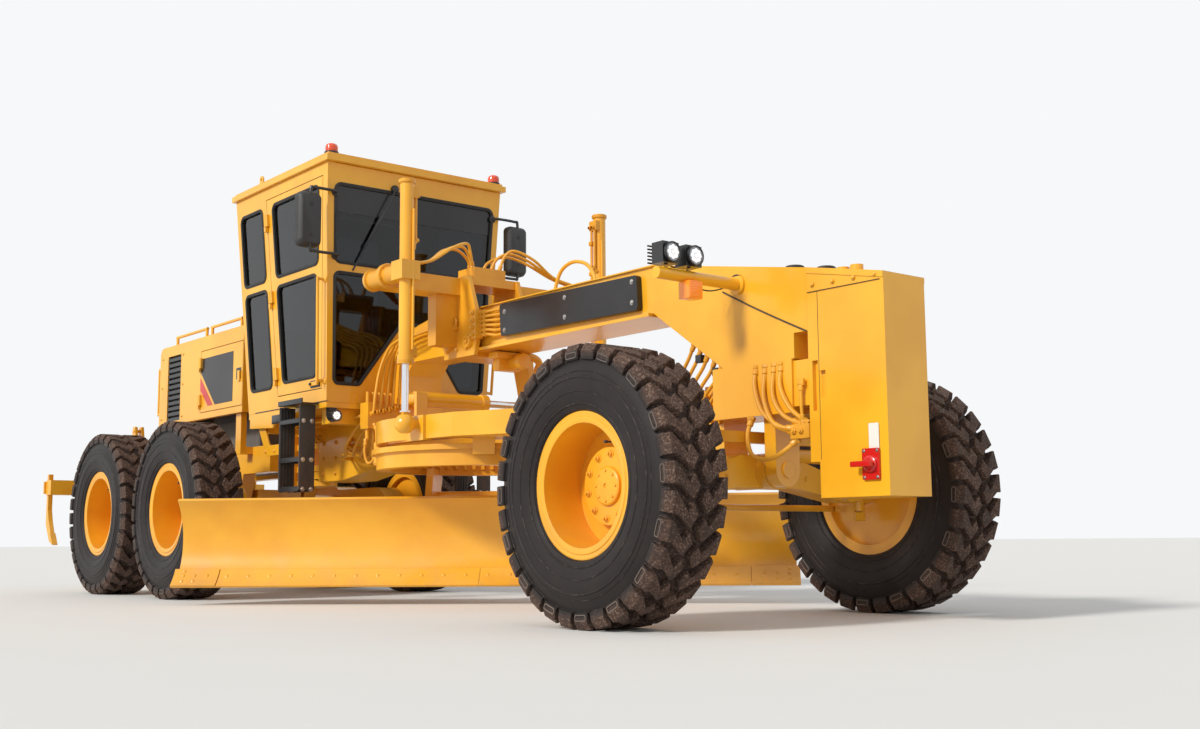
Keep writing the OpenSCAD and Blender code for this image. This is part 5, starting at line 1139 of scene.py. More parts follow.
def treadLug(bm, at, c):
    wide = grownOutline(c["outline"], c["draft"])
    last = len(wide) - 1
    columns = []
    for k, (s, y) in enumerate(c["outline"]):
        if k in (0, last):
            e = wide[k].x
            points = [(s, y, c["radius"]), (s, c["half"], c["shoulder"]), (e, c["half"] - 0.003, c["low"]),
                      (e, y - 0.006, c["foot"])]
        else:
            points = [(s, y, c["radius"]), (wide[k].x, wide[k].y, c["base"])]
        columns.append([bm.verts.new(at(*p)) for p in points])
    first, end = columns[0], columns[-1]
    bm.faces.new([col[0] for col in columns])
    for a, b in zip(columns[1:-2], columns[2:-1]):
        bm.faces.new((a[0], a[1], b[1], b[0]))
    bm.faces.new(first[::-1] + columns[1][:2])
    bm.faces.new([columns[-2][1], columns[-2][0]] + end)
    for k in range(3):
        bm.faces.new((first[k], first[k + 1], end[k + 1], end[k]))
    bm.faces.new([first[3]] + [col[1] for col in columns[1:-1]] + [end[3]])


def treadTyres(c):
    pitch = 2 * math.pi / c["lugs"]
    for name, (x, side) in wheelSettings["spots"].items():
        centre = Vector((x, side * machine["wheelY"], machine["wheelZ"]))
        wall = c["bead"] + [(r, sidewallY(r)) for r in spread(*c["wall"])] + [c["edge"]]
        ring = wall + [(r, -y) for r, y in reversed(wall)]
        bm = bmesh.new()
        lathe(bm, ring + ring[:1], centre, (0, side, 0), 96)
        marks = bmesh.new()
        for hand in (1, -1):
            for i in range(c["lugs"]):
                turn = (i + (0.5 if hand < 0 else 0.0)) * pitch

                def at(s, y, r):
                    a = s / c["radius"] + turn
                    return centre + Vector((r * math.sin(a), hand * side * y, r * math.cos(a)))
                treadLug(bm, at, c)
                if i % 2 == 0:
                    outer = roundedOutline(c["frame"], 0.011, 3)
                    inner = roundedOutline(grownOutline(c["frame"], -c["rim"]), 0.007, 3)
                    rows = [[marks.verts.new(at(p[0], y, p[1])) for p in line]
                            for line, y in ((outer, c["half"] - 0.005), (outer, c["half"] + 0.0014),
                                            (inner, c["half"] + 0.0014), (inner, c["half"] - 0.005))]
                    for a, b in zip(rows, rows[1:]):
                        for k in range(len(a)):
                            marks.faces.new((a[k], a[k - 1], b[k - 1], b[k]))
        piece = put(bm, "tread_tyre_" + name, "wheel_" + name, tyreLook(name), 32, 0.0035)
        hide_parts("tyre_" + name)
        put(marks, "shoulder_frames_" + name, "wheel_" + name, "tyreMark", 32)


treadTyres(treadSettings)
print("tyres")

# Hoses and their fittings


def hoseEnd(bm, at, axis, radius):
    # Hexagon nut and crimped collar
    lathe(bm, [(0, -0.003), (radius * 1.8, -0.003), (radius * 1.8, 0.012), (radius * 1.55, 0.016), (0, 0.016)],
          at, axis, 6)
    lathe(bm, [(radius * 1.3, 0.015), (radius * 1.42, 0.019), (radius * 1.42, 0.044), (radius, 0.049)], at,
          axis, 12)


def hoseRun(bm, points, radius):
    path = smoothPath([fromAxle(*p) for p in points], 5)
    tube(bm, path, radius, 9)
    hoseEnd(bm, path[0], path[1] - path[0], radius)
    hoseEnd(bm, path[-1], path[-2] - path[-1], radius)


hoseSettings = {
    "archTop": [(-0.334, 1.492), (-0.063, 1.314)], "archEnd": [(-0.272, 1.225), (-0.185, 1.085)],
    "archCount": 6, "small": 0.0105, "middle": 0.0125,
    "bolster": [
        [(0.157, -0.140, 1.320), (0.160, -0.166, 1.220), (0.215, -0.172, 1.080), (0.330, -0.168, 0.995),
         (0.420, -0.150, 0.975)],
        [(0.221, -0.140, 1.320), (0.228, -0.170, 1.150), (0.300, -0.174, 1.010), (0.418, -0.135, 0.950)],
        [(0.285, -0.140, 1.320), (0.290, -0.168, 1.160), (0.360, -0.170, 1.050), (0.450, -0.135, 0.998)],
        [(0.335, -0.140, 1.320), (0.342, -0.166, 1.200), (0.410, -0.168, 1.080), (0.500, -0.135, 0.998)],
        [(0.430, -0.135, 0.925), (0.370, -0.165, 0.870), (0.270, -0.176, 0.830), (0.150, -0.178, 0.850),
         (0.105, -0.170, 0.950), (0.110, -0.140, 1.055)],
    ],
    "beamCable": [(-0.075, -0.1555, 1.752), (0.060, -0.1560, 1.682), (0.300, -0.1560, 1.566),
                  (0.524, -0.1555, 1.463)],
    "lampCable": [(-0.010, -0.480, 1.830), (-0.050, -0.400, 1.760), (-0.030, -0.300, 1.735),
                  (0.010, -0.200, 1.760)],
    "caps": [(0.375, -0.070, 1.812), (0.475, 0.060, 1.808)], "cabPipes": [0.265, 0.325, 0.385, 0.445],
    "bosses": [(-2.700, 1.765, 0.052), (-2.450, 1.760, 0.044)],
    "lock": [(-2.330, 0.100, 1.672), (-2.318, 0.190, 1.674), (-2.312, 0.255, 1.650), (-2.322, 0.285, 1.600)],
    "overBeam": [(-1.963, 0.130, 1.992), (-1.945, 0.138, 2.110), (-1.880, 0.140, 2.205), (-1.756, 0.142, 2.236),
                 (-1.620, 0.140, 2.195), (-1.540, 0.138, 2.100), (-1.518, 0.130, 1.992)],
}


def frontHoses(c):
    bm = bmesh.new()
    topLine, endLine = ([Vector(p) for p in c[key]] for key in ("archTop", "archEnd"))
    for t in spread(0.0, 1.0, c["archCount"]):
        top, end = topLine[0].lerp(topLine[1], t), endLine[0].lerp(endLine[1], t)
        belly = top * 0.42 + end * 0.58 + Vector((-0.125 + 0.055 * t, -0.020))
        hoseRun(bm, [(top.x + 0.004, -0.128, top.y + 0.012), (top.x - 0.036, -0.131, top.y - 0.060),
                     (belly.x, -0.138, belly.y), (end.x - 0.035, -0.136, end.y - 0.020),
                     (end.x, -0.108, end.y)], c["small"])
    put(bm, "arch_hoses", "front_frame", "hose")
    bm = bmesh.new()
    for t in (0.24, 0.72):
        x, z = topLine[0].lerp(topLine[1], t) - Vector((0.020, 0.040))
        block(bm, (x - 0.022, -0.146, z - 0.020), (x + 0.022, -0.112, z + 0.024), 0.005)
    put(bm, "arch_hose_clamps", "front_frame", "plastic")
    bm = bmesh.new()
    for points in c["bolster"]:
        hoseRun(bm, points, c["middle"])
    # Manifold at the box's foot, with its plugs, and the pipe that comes down to it
    block(bm, (0.400, -0.165, 0.922), (0.529, -0.100, 0.998), 0.010)
    for x in (0.430, 0.478):
        lathe(bm, [(0, -0.004), (0.017, -0.004), (0.017, 0.010), (0.010, 0.012), (0.010, 0.018), (0, 0.018)],
              fromAxle(x, -0.165, 0.962), (0, -1, 0), 6)
    hoseRun(bm, [(0.478, -0.158, 1.210), (0.478, -0.160, 1.100), (0.478, -0.150, 0.998)], 0.009)
    block(bm, (0.454, -0.166, 1.190), (0.500, -0.1495, 1.225), 0.004)
    put(bm, "bolster_hoses", "front_frame", "hose")
    bm = bmesh.new()
    axlePath(bm, c["beamCable"], 0.0042, 6, 4)
    axlePath(bm, c["lampCable"], 0.004, 6, 5)
    # Filler caps behind the box
    for x, y, z in c["caps"]:
        lathe(bm, [(0, -0.020), (0.040, -0.020), (0.040, 0.000), (0.049, 0.000), (0.051, 0.005), (0.051, 0.014),
                   (0.044, 0.019), (0, 0.020)], fromAxle(x, y, z), zAxis, 24)
    put(bm, "cables_and_caps", "front_frame", "plastic")


frontHoses(hoseSettings)


def cabHoses(c):
    # From the valve bank up past the cab's front wall to the saddle, its loops below, and pipes under the floor
    bm = bmesh.new()
    for k in range(6):
        y = -0.400 + 0.050 * k
        lift = 0.020 * k
        hoseRun(bm, [(-3.426, y, 1.335 + 0.012 * k), (-3.398, y, 1.350 + 0.012 * k), (-3.390, y * 0.98, 1.470),
                     (-3.392, y * 0.9, 1.640 + lift), (-3.350, y * 0.8, 1.790 + lift),
                     (-3.230, y * 0.62 - 0.06, 1.850 + lift), (-3.050, y * 0.40 - 0.12, 1.870 + lift),
                     (-2.880, y * 0.2 - 0.150, 1.905 + lift), (-2.762, y * 0.1 - 0.185, 1.930 + lift)],
                     c["small"])
    for k in range(5):
        y = -0.410 + 0.060 * k
        hoseRun(bm, [(-3.485, y, 1.155), (-3.480, y - 0.012, 1.060), (-3.455, y, 0.985 - 0.012 * (k % 2)),
                     (-3.412, y + 0.022, 1.010), (-3.398, y + 0.035, 1.110), (-3.400, y + 0.036, 1.210),
                     (-3.426, y + 0.036, 1.262)], c["small"])
    for k in range(4):
        y = -0.375 + 0.062 * k
        hoseRun(bm, [(-3.541, y, 1.300), (-3.600, y - 0.004, 1.290), (-3.680, y - 0.030, 1.215 - 0.018 * k),
                     (-3.760, y - 0.045, 1.120 - 0.03 * k), (-3.880, y + 0.02, 1.060),
                     (-4.040, y * 0.4 - 0.165, 1.050 + 0.03 * k), (-4.160, -0.158, 1.060 + 0.05 * k)],
                     c["small"])
    put(bm, "valve_hoses", "front_frame", "hose")
    bm = bmesh.new()
    for k, y in enumerate(c["cabPipes"]):
        for s in (-1, 1):
            z = 1.352 - 0.028 * (k % 2)
            hoseRun(bm, [(-3.542, s * y * 0.9, 1.365 - 0.01 * k), (-3.620, s * y * 0.95, z), (-3.850, s * y, z),
                         (-4.350, s * y, z), (-4.560, s * (y - 0.02), z - 0.010),
                         (-4.660, s * 0.190, z - 0.090), (-4.665, s * 0.152, z - 0.100)], 0.009)
    for x in (-3.800, -4.330):
        for s in (-1, 1):
            sideBlock(bm, s, (x - 0.018, 0.240, 1.300), (x + 0.018, 0.475, 1.372), 0.006)
    put(bm, "floor_pipes", "front_frame", "hose")


cabHoses(hoseSettings)


def saddleHoses(c):
    for s, name in sides:
        bm = bmesh.new()
        for k in range(3):
            x = -2.69 + 0.060 * k
            hoseRun(bm, [(x, s * (0.050 + 0.030 * k), 2.294),
                         (x + 0.02, s * (0.085 + 0.030 * k), 2.370 + 0.016 * k),
                         (x + 0.06, s * 0.200, 2.420 + 0.012 * k), (x + 0.10, s * 0.340, 2.390),
                         (-2.500 + 0.018 * k, s * 0.500, 2.285), (-2.470 + 0.020 * k, s * 0.640, 2.240),
                         (-2.455 + 0.022 * k, s * 0.742, 2.200)], c["small"])
        # Round boss plates and the ring bolted on the cheek
        y = s * 0.2165
        for x, z, r in c["bosses"]:
            lathe(bm, [(0, -0.001), (r, -0.001), (r, 0.022), (r * 0.92, 0.028), (r * 0.62, 0.028),
                       (r * 0.58, 0.020), (r * 0.30, 0.020), (r * 0.30, 0.034), (0, 0.036)], fromAxle(x, y, z),
                       (0, s, 0), 28)
        ring = [fromAxle(-2.615 + u, y + s * 0.020, 1.905 + v) for u, v in onCircle(0.036, 20)]
        tube(bm, ring + ring[:1], 0.009, 8)
        block(bm, (-2.645, min(y, y + s * 0.034), 1.850), (-2.585, max(y, y + s * 0.034), 1.882), 0.006)
        # Collar, cap and bolts on the hub of the lift cylinder
        lathe(bm, [(0.0615, 0), (0.084, 0), (0.084, 0.026), (0.078, 0.032), (0.0615, 0.034)],
              fromAxle(-2.545, s * 0.8, 2.150), xAxis, 32)
        lathe(bm, [(0, 0.010), (0.050, 0.010), (0.070, 0.004), (0.076, -0.010), (0.076, -0.030),
                   (0.0615, -0.034)], fromAxle(-2.741, s * 0.8, 2.150), (-1, 0, 0), 32)
        for u, v in onCircle(0.072, 6, 0.3):
            bolt(bm, fromAxle(-2.511, s * 0.8 + u, 2.150 + v), xAxis, 0.007, False)
        put(bm, "saddle_fittings_" + name, "front_frame", "castPaint", 35)
        # Two pipes down the cylinder's inner side, with their port blocks
        bm = bmesh.new()
        inner = s * 0.742
        for x, low, high in ((-2.318, 1.625, 2.640), (-2.284, 2.330, 2.640)):
            hoseRun(bm, [(x, s * 0.762, high + 0.020), (x, s * 0.744, high + 0.010), (x, inner, high - 0.060),
                         (x, inner, low + 0.080), (x, inner, low + 0.020), (x, s * 0.760, low)], 0.0095)
        sideBlock(bm, s, (-2.338, 0.735, 1.590), (-2.262, 0.775, 1.655), 0.008)
        sideBlock(bm, s, (-2.338, 0.735, 2.628), (-2.262, 0.775, 2.700), 0.008)
        for z in (2.00, 2.30, 2.52):
            sideBlock(bm, s, (-2.334, 0.728, z), (-2.302, 0.765, z + 0.030), 0.004)
        for z in (1.560, 2.735):
            lathe(bm, [(0.0448, -0.010), (0.053, -0.010), (0.055, -0.004), (0.055, 0.010), (0.0448, 0.014)],
                  fromAxle(-2.300, s * 0.8, z), zAxis, 32)
        put(bm, "cylinder_pipes_" + name, "lift_barrel_" + name, "castPaint", 35)
    # Clamp below the saddle: round lock cylinder between two jaws, and the curved arm on the far side
    bm = bmesh.new()
    lathe(bm, [(0, 0), (0.046, 0), (0.046, 0.150), (0.056, 0.156), (0.056, 0.190), (0.050, 0.204),
               (0.012, 0.208), (0, 0.208)], fromAxle(-2.375, 0.045, 1.618), xAxis, 32)
    block(bm, (-2.376, -0.075, 1.560), (-2.300, 0.105, 1.672), 0.012)
    block(bm, (-2.376, -0.110, 1.640), (-2.270, 0.110, 1.682), 0.008)
    for y in (-0.050, 0.080):
        bolt(bm, fromAxle(-2.300, y, 1.590), xAxis, 0.011)
    axlePath(bm, c["lock"], 0.026, 14, 6)
    lathe(bm, [(0, -0.020), (0.040, -0.020), (0.044, -0.014), (0.044, 0.014), (0.040, 0.020), (0, 0.020)],
          fromAxle(-2.330, 0.285, 1.590), (0, 1, 0), 24)
    # Hose loop over the beam's far side
    hoseRun(bm, c["overBeam"], c["middle"])
    put(bm, "saddle_clamp", "front_frame", "castPaint", 35)


saddleHoses(hoseSettings)
print("hoses")

# Under the cab: bracket plates, the base's dark joint line, and the ladders

ladderSettings = {"x": -3.868, "half": 0.165, "in": 0.700, "out": 0.822, "foot": 0.795, "top": 1.415,
                  "strap": 0.014, "steps": [0.812, 1.022, 1.300]}


baseSettings = {
    "plate": [(-4.790, 1.388), (-4.590, 1.085), (-4.290, 1.085), (-4.245, 1.388)], "plateCorner": 0.024,
    "window": [(-4.640, 1.330), (-4.545, 1.165), (-4.345, 1.165), (-4.322, 1.330)], "windowCorner": 0.018,
    "y": 0.640, "thick": 0.014, "bolts": [(-4.60, 1.118), (-4.45, 1.118), (-4.32, 1.118)],
}


def cabBase(c):
    for s, name in sides:
        turn = Matrix.Translation((axleX, s * c["y"], 0)) @ upright
        bm = bmesh.new()
        hoop(bm, roundedOutline(c["plate"], c["plateCorner"]), roundedOutline(c["window"], c["windowCorner"]),
             turn, c["thick"])
        for x, z in c["bolts"]:
            bolt(bm, fromAxle(x, s * c["y"] - (c["thick"] if s < 0 else 0.0), z), (0, s, 0), 0.011)
        put(bm, "base_bracket_" + name, "front_frame", "paint", 30, 0.002)
        bm = bmesh.new()
        sideBlock(bm, s, (-4.735, 0.6850, 1.4215), (-3.560, 0.6872, 1.4290))
        sideBlock(bm, s, (-4.440, 0.6850, 1.318), (-4.225, 0.6872, 1.385), 0.001)
        put(bm, "base_joint_" + name, "front_frame", "gloss")


cabBase(baseSettings)


def strapLadders(c):
    # Rubber straps, each doubled, with clamped steps of grip plate
    for s, name in sides:
        y0, y1 = sorted((s * c["in"], s * c["out"]))
        bm = bmesh.new()
        for side in (-1, 1):
            x = c["x"] + side * (c["half"] - c["strap"] / 2)
            block(bm, (x - c["strap"] / 2, y0, c["foot"]), (x + c["strap"] / 2, y1, c["top"] - 0.010), 0.004)
            for k in range(5):
                y = y0 + (y1 - y0) * (k + 0.5) / 5
                block(bm, (x - side * 0.0085 - 0.002, y - 0.006, c["foot"] + 0.01),
                      (x - side * 0.0085 + 0.002, y + 0.006, c["top"] - 0.02), 0.0015)
        put(bm, "ladder_straps_" + name, "front_frame", "strap", 35)
        bm = bmesh.new()
        low, high = c["x"] - c["half"] + c["strap"], c["x"] + c["half"] - c["strap"]
        for z in c["steps"]:
            block(bm, (low, y0, z), (high, y1, z + 0.006), 0.002)
            block(bm, (low, y0, z - 0.026), (high, y0 + 0.005, z + 0.005), 0.002)
            block(bm, (low, y1 - 0.005, z - 0.026), (high, y1, z + 0.005), 0.002)
            for x in spread(low + 0.030, high - 0.030, 8):
                for y in spread(y0 + 0.020, y1 - 0.020, 3):
                    lathe(bm, [(0.0085, 0.0), (0.0075, 0.005), (0.0045, 0.006), (0.0035, 0.002)],
                          fromAxle(x, y, z + 0.006), zAxis, 10)
        # Platform under the door, its edge turned up
        sideBlock(bm, s, (c["x"] - 0.190, 0.687, c["top"] - 0.004), (c["x"] + 0.190, 0.822, c["top"] + 0.004),
                  0.002)
        sideBlock(bm, s, (c["x"] - 0.190, 0.814, c["top"]), (c["x"] + 0.190, 0.822, c["top"] + 0.034), 0.002)
        put(bm, "ladder_steps_" + name, "front_frame", "blackPaint", 35)
        bm = bmesh.new()
        for z in c["steps"]:
            for side in (-1, 1):
                x = c["x"] + side * c["half"]
                for y in (s * 0.728, s * 0.794):
                    bolt(bm, fromAxle(x, y, z - 0.012), (side, 0, 0), 0.012)
        piece = put(bm, "ladder_bolts_" + name, "front_frame", "steel", 30)
        if s < 0:
            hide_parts("ladders")


strapLadders(ladderSettings)
print("ladders")

# Mirrors in rounded housings, on bent arms, which stand for the plain ones

mirrorSettings = {"x": -3.470, "y": 0.900, "half": 0.092, "low": 2.500, "high": 2.895, "arms": (2.470, 2.930),
                  "arm": 0.011, "round": 0.042, "shell": [(-0.040, 0.0), (0.000, 0.0), (0.026, 0.010),
                                                          (0.038, 0.026)]}


def mirrorHeads(c):
    bm, glass, arms = bmesh.new(), bmesh.new(), bmesh.new()
    for s in (-1, 1):
        turn = Matrix.Translation((axleX + c["x"], s * c["y"], 0)) @ facing
        corners = [(-c["half"], c["low"]), (c["half"], c["low"]), (c["half"], c["high"]),
                   (-c["half"], c["high"])]
        rings = []
        for depth, shrink in c["shell"]:
            line = roundedOutline(grownOutline(corners, -shrink), c["round"] - shrink * 0.5, 6)
            rings.append([bm.verts.new(turn @ Vector((p[0], p[1], depth))) for p in line])
        inner = [bm.verts.new(turn @ Vector((p[0], p[1], -0.040)))
                 for p in roundedOutline(grownOutline(corners, -0.008), c["round"] - 0.006, 6)]
        deep = [bm.verts.new(turn @ Vector((p[0], p[1], -0.034)))
                for p in roundedOutline(grownOutline(corners, -0.009), c["round"] - 0.007, 6)]
        for a, b in [(deep, inner), (inner, rings[0])] + list(zip(rings, rings[1:])):
            for k in range(len(a)):
                bm.faces.new((a[k - 1], a[k], b[k], b[k - 1]))
        bm.faces.new(rings[-1])
        bm.faces.new(deep)
        extrude(glass, roundedOutline(grownOutline(corners, -0.011), c["round"] - 0.008, 6),
                turn @ Matrix.Translation((0, 0, -0.0375)), 0.003)
        bar = c["x"] + 0.020
        for z in c["arms"]:
            h = z - cab["floorZ"]
            post = s * (cab["halfWidth"] + h * math.tan(math.radians(cab["lean"])) - 0.060)
            tube(arms, smoothPath([fromAxle(cabFrontAt(h) - 0.002, post, z), fromAxle(bar - 0.030, post, z),
                                   fromAxle(bar, post + s * 0.030, z), fromAxle(bar, s * (c["y"] - 0.030), z),
                                   fromAxle(bar, s * c["y"], z + (0.020 if z < 2.6 else -0.020)),
                                   fromAxle(bar, s * c["y"], 2.700)], 5), c["arm"], 10)
            lathe(arms, [(0, 0.000), (0.028, 0.000), (0.028, 0.008), (0.018, 0.014), (0, 0.014)],
                  fromAxle(cabFrontAt(h), post, z), xAxis, 20)
        for z in (2.590, 2.810):
            block(arms, (bar - 0.016, s * c["y"] - 0.022, z - 0.022),
                  (bar + 0.020, s * c["y"] + 0.022, z + 0.022), 0.006)
            bolt(arms, fromAxle(bar + 0.020, s * c["y"], z), xAxis, 0.008)
    piece = put(bm, "mirror_housings", "front_frame", "plastic", 35)
    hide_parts("mirrors")
    put(glass, "mirror_glass", "front_frame", "mirrorFace")
    put(arms, "mirror_arms", "front_frame", "blackPaint", 35)


mirrorHeads(mirrorSettings)
print("mirrors")

# The operator's seat: cushions swollen by cloth simulation on a sprung pedestal

seatSettings = {
    "voxel": 0.006, "coarse": 0.012, "pressure": 4.0, "frames": 20, "cap": 0.022, "channel": 0.0075,
    "width": 0.0075, "piping": 0.0042,
    "pads": [{"name": "seat_cushion", "size": (0.440, 0.455, 0.078), "round": 0.030, "at": (-4.290, 0, 1.778),
              "lean": 0.0, "channels": (-0.100, 0.010, 0.120)},
              {"name": "seat_back", "size": (0.560, 0.415, 0.070), "round": 0.028, "at": (-4.583, 0, 2.130),
               "lean": 80.0, "channels": (-0.160, -0.050, 0.060, 0.170)},
    ],
}


def bakeModifiers(piece):
    bpy.context.view_layer.update()
    mesh = bpy.data.meshes.new_from_object(piece.evaluated_get(bpy.context.evaluated_depsgraph_get()))
    piece.modifiers.clear()
    piece.data = mesh


def swell(piece, c):
    # Pressure from inside, with the movement of each point capped
    stage = bpy.context.scene
    cloth = piece.modifiers.new("swell", "CLOTH")
    cloth.settings.use_pressure = True
    cloth.settings.uniform_pressure_force = c["pressure"]
    cloth.settings.effector_weights.gravity = 0.0
    cloth.point_cache.frame_start, cloth.point_cache.frame_end = 1, c["frames"]
    for step in range(1, c["frames"] + 1):
        stage.frame_set(step)
    full = piece.evaluated_get(bpy.context.evaluated_depsgraph_get()).data
    moves = [w.co - v.co for v, w in zip(piece.data.vertices, full.vertices)]
    piece.modifiers.clear()
    for v, move in zip(piece.data.vertices, moves):
        v.co += move * min(1.0, c["cap"] / max(move.length, 1e-9))
    stage.frame_set(1)


def padPiece(pad, c):
    bm = bmesh.new()
    half = Vector(pad["size"]) / 2
    brick(bm, -half, half, None, pad["round"])
    mesh = bpy.data.meshes.new(pad["name"])
    bm.to_mesh(mesh)
    bm.free()
    piece = bpy.data.objects.new(pad["name"], mesh)
    bpy.context.scene.collection.objects.link(piece)
    dense = piece.modifiers.new("dense", "REMESH")
    dense.mode = "VOXEL"
    dense.voxel_size = c["voxel"]
    bakeModifiers(piece)
    swell(piece, c)
    piece.modifiers.new("fine", "SUBSURF").levels = 1
    bakeModifiers(piece)
    # Sewn channels across the upper face, and a crown between the edges
    for v in piece.data.vertices:
        top = max(0.0, min(1.0, (v.co.z - half.z * 0.4) / (half.z * 0.6)))
        edge = max(0.0, 1 - (v.co.x / half.x) ** 2) * max(0.0, 1 - (v.co.y / half.y) ** 4)
        groove = sum(math.exp(-((v.co.x - x) / c["width"]) ** 2) for x in pad["channels"])
        side = math.exp(-((abs(v.co.y) - half.y * 0.62) / c["width"]) ** 2)
        v.co.z += top * (0.006 * edge - c["channel"] * min(1.0, groove + side))
    turn = Matrix.Translation(fromAxle(*pad["at"])) @ Matrix.Rotation(math.radians(-pad["lean"]), 4, "Y")
    tree = BVHTree.FromPolygons([v.co for v in piece.data.vertices], [p.vertices for p in piece.data.polygons])
    line = roundedOutline([(-half.x, -half.y), (half.x, -half.y), (half.x, half.y), (-half.x, half.y)], 0.05, 8)
    bead = []
    for p in line + line[:1]:
        spot, out = tree.find_nearest(Vector((p[0] * 1.02, p[1] * 1.02, half.z * 0.55)))[:2]
        bead.append(turn @ (spot + out * c["piping"] * 0.4))
    piece.data.transform(turn)
    for p in piece.data.polygons:
        p.use_smooth = True
    piece.data.materials.clear()
    piece.data.materials.append(finish["cloth"])
    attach(piece, "front_frame")
    bm = bmesh.new()
    tube(bm, bead, c["piping"], 8, False)
    put(bm, pad["name"] + "_piping", "front_frame", "strap", 40, 0.0, "seat_fabric")
    return piece


def operatorSeat(c):
    for pad in c["pads"]:
        padPiece(pad, c)
    bm = bmesh.new()
    block(bm, (-4.455, -0.145, 1.4215), (-4.145, 0.145, 1.448), 0.006)
    block(bm, (-4.520, -0.230, 1.700), (-4.070, 0.230, 1.728), 0.010)
    # Shell behind the backrest, its hinge and the arms
    lean = Matrix.Translation(fromAxle(-4.530, 0, 1.800)) @ Matrix.Rotation(math.radians(-10), 4, "Y")
    brick(bm, (-0.075, -0.215, 0.010), (-0.052, 0.215, 0.610), lean, 0.012)
    for s in (-1, 1):
        lathe(bm, [(0, 0), (0.045, 0), (0.045, 0.014), (0.036, 0.022), (0, 0.022)],
              fromAxle(-4.500, s * 0.232, 1.775), (0, s, 0), 28)
        sideBlock(bm, s, (-4.512, 0.236, 1.770), (-4.478, 0.252, 1.990), 0.005)
    put(bm, "seat_shell", "front_frame", "plastic", 35)
    bm = bmesh.new()
    profile = []
    for k in range(6):
        z = 1.450 + k * 0.041
        profile += [(0.118, z), (0.136, z + 0.010), (0.138, z + 0.020), (0.136, z + 0.030), (0.118, z + 0.040)]
    lathe(bm, [(0, 1.449)] + profile + [(0, 1.699)], fromAxle(-4.300, 0, 0), zAxis, 40)
    put(bm, "seat_bellows", "front_frame", "rubber", 40)
    bm = bmesh.new()
    for s in (-1, 1):
        sideBlock(bm, s, (-4.510, 0.250, 1.982), (-4.190, 0.306, 2.018), 0.015)
    piece = put(bm, "seat_arm_pads", "front_frame", "plastic", 50)
    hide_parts("operator_seat")


operatorSeat(seatSettings)
print("seat")

# Fittings of the hood, the exhaust, the tail and the ripper

rearSettings = {
    "hood": (-3.475, -1.665, 0.500, 2.225), "roofBolts": 8, "roofSeams": (-2.300, -2.930),
    "rearBolts": (1.535, 1.700, 1.860, 2.020, 2.150), "sideBolts": (1.560, 1.850, 2.120), "fins": 40,
    "sideFins": 16,
    "bands": ((0.045, 0.085), (0.160, 0.085), (0.285, 0.085), (0.340, 0.055)),
    "caps": ((-3.20, 0.20), (-1.95, -0.24)),
    "stack": (-2.565, 2.225), "tail": -3.875, "tailLamp": (0.485, 1.200), "beam": (-4.745, 0.900, 1.040),
    "shanks": [-1.055 + 0.5275 * k for k in range(5)],
}


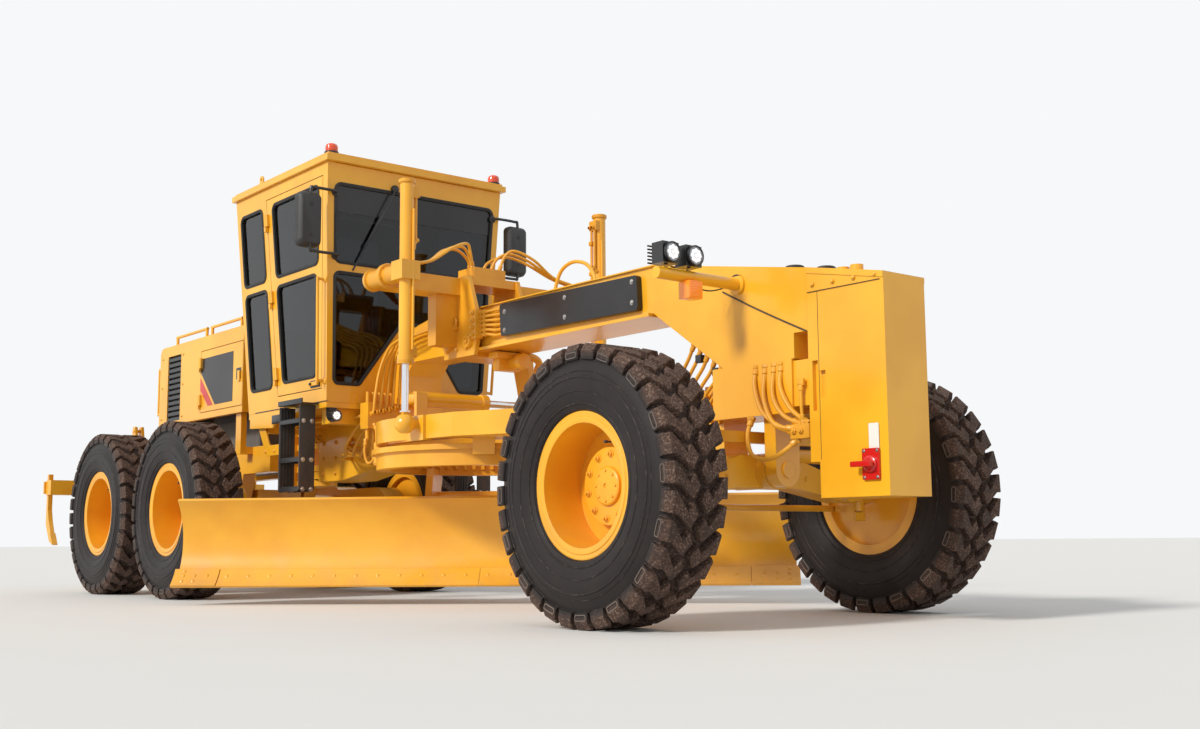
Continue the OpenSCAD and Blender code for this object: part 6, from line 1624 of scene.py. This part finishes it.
def rearFittings(c):
    x0, x1, half, top = c["hood"]
    bm = bmesh.new()
    for x in c["roofSeams"]:
        brick(bm, (x - 0.002, -half + 0.004, top - 0.001), (x + 0.002, half - 0.004, top + 0.0008))
    put(bm, "hood_seams", "rear_frame", "rubber")
    bm = bmesh.new()
    for s in (-1, 1):
        for x in spread(x0 + 0.09, x1 - 0.05, c["roofBolts"]):
            bolt(bm, Vector((x, s * (half - 0.026), top)), zAxis, 0.010)
        for z in c["rearBolts"]:
            bolt(bm, Vector((x0, s * (half - 0.036), z)), (-1, 0, 0), 0.010)
        for x in (x0 + 0.060, x0 + 0.540):
            for z in c["sideBolts"]:
                bolt(bm, Vector((x, s * half, z)), (0, s, 0), 0.008)
    put(bm, "hood_bolts", "rear_frame", "paint")
    # Finned cooler cores behind the grille and the louvres
    bm = bmesh.new()
    brick(bm, (x0 + 0.050, -0.405, 1.520), (x0 + 0.075, 0.405, 2.150))
    for y in spread(-0.390, 0.390, c["fins"]):
        brick(bm, (x0 + 0.040, y - 0.003, 1.530), (x0 + 0.051, y + 0.003, 2.140))
    for s in (-1, 1):
        brick(bm, (x0 + 0.170, s * 0.455 - 0.010, 1.520), (x0 + 0.510, s * 0.455 + 0.010, 2.150))
        for x in spread(x0 + 0.185, x0 + 0.495, c["sideFins"]):
            brick(bm, (x - 0.003, s * 0.468 - 0.005, 1.530), (x + 0.003, s * 0.468 + 0.005, 2.140))
    put(bm, "cooler_cores", "rear_frame", "iron")
    bm = bmesh.new()
    for x, y in c["caps"]:
        lathe(bm, [(0, -0.002), (0.078, -0.002), (0.078, 0.010), (0.062, 0.012), (0.062, 0.034), (0.056, 0.040),
                   (0.020, 0.042), (0, 0.042)], (x, y, top), zAxis, 32)
        brick(bm, (x - 0.050, y - 0.008, top + 0.040), (x + 0.050, y + 0.008, top + 0.052), None, 0.003)
    put(bm, "filler_caps", "rear_frame", "blackPaint", 35)
    # Clamp, heat bands and the flap over the pipe's mouth
    x, base = c["stack"]
    bm = bmesh.new()
    for z, r in c["bands"]:
        lathe(bm, [(r - 0.001, -0.012), (r + 0.004, -0.012), (r + 0.004, 0.012), (r - 0.001, 0.012)],
              (x, 0, base + z), zAxis, 40)
        brick(bm, (x + r, -0.014, base + z - 0.010), (x + r + 0.018, 0.014, base + z + 0.010), None, 0.002)
    flap = Matrix.Translation((x - 0.058, 0, base + 0.503)) @ Matrix.Rotation(math.radians(-24), 4, "Y")
    lathe(bm, [(0, 0), (0.060, 0), (0.060, 0.004), (0, 0.005)], flap @ Vector((0.058, 0, 0)),
          flap.to_3x3() @ Vector(zAxis), 32)
    brick(bm, (-0.050, -0.012, 0.000), (0.030, 0.012, 0.006), flap, 0.001)
    brick(bm, (-0.066, -0.016, -0.008), (-0.040, 0.016, 0.014), flap, 0.003)
    put(bm, "exhaust_fittings", "rear_frame", "blackPaint", 35)
    bm = bmesh.new()
    lens = bmesh.new()
    y, z = c["tailLamp"]
    for s in (-1, 1):
        brick(bm, (c["tail"] - 0.034, s * y - 0.060, z - 0.082), (c["tail"] + 0.001, s * y + 0.060, z + 0.082),
              None, 0.006)
        for k, high in ((0, 0.074), (1, -0.003)):
            brick(lens, (c["tail"] - 0.040, s * y - 0.050, z + high - 0.074),
                  (c["tail"] - 0.030, s * y + 0.050, z + high), None, 0.004, k)
    put(bm, "tail_lamp_boxes", "rear_frame", "blackPaint")
    put(lens, "tail_lamp_lenses", "rear_frame", ["redLens", "amber"])
    # Shank clamps with their bolts, and the caps on the ripper's teeth
    back, low, high = c["beam"]
    bm = bmesh.new()
    for y in c["shanks"]:
        for s in (-1, 1):
            brick(bm, (back - 0.030, y + s * 0.022, low + 0.012), (back + 0.001, y + s * 0.062, high - 0.012),
                  None, 0.003)
            for z in (low + 0.034, high - 0.034):
                bolt(bm, Vector((back - 0.030, y + s * 0.042, z)), (-1, 0, 0), 0.010)
        turn = Matrix.Translation((back, y + 0.026, 0)) @ upright
        extrude(bm, [(0.086, 0.457), (0.192, 0.421), (0.132, 0.507), (0.112, 0.533)], turn, 0.052)
    put(bm, "ripper_clamps", "ripper", "castPaint")


rearFittings(rearSettings)
print("rear fittings")
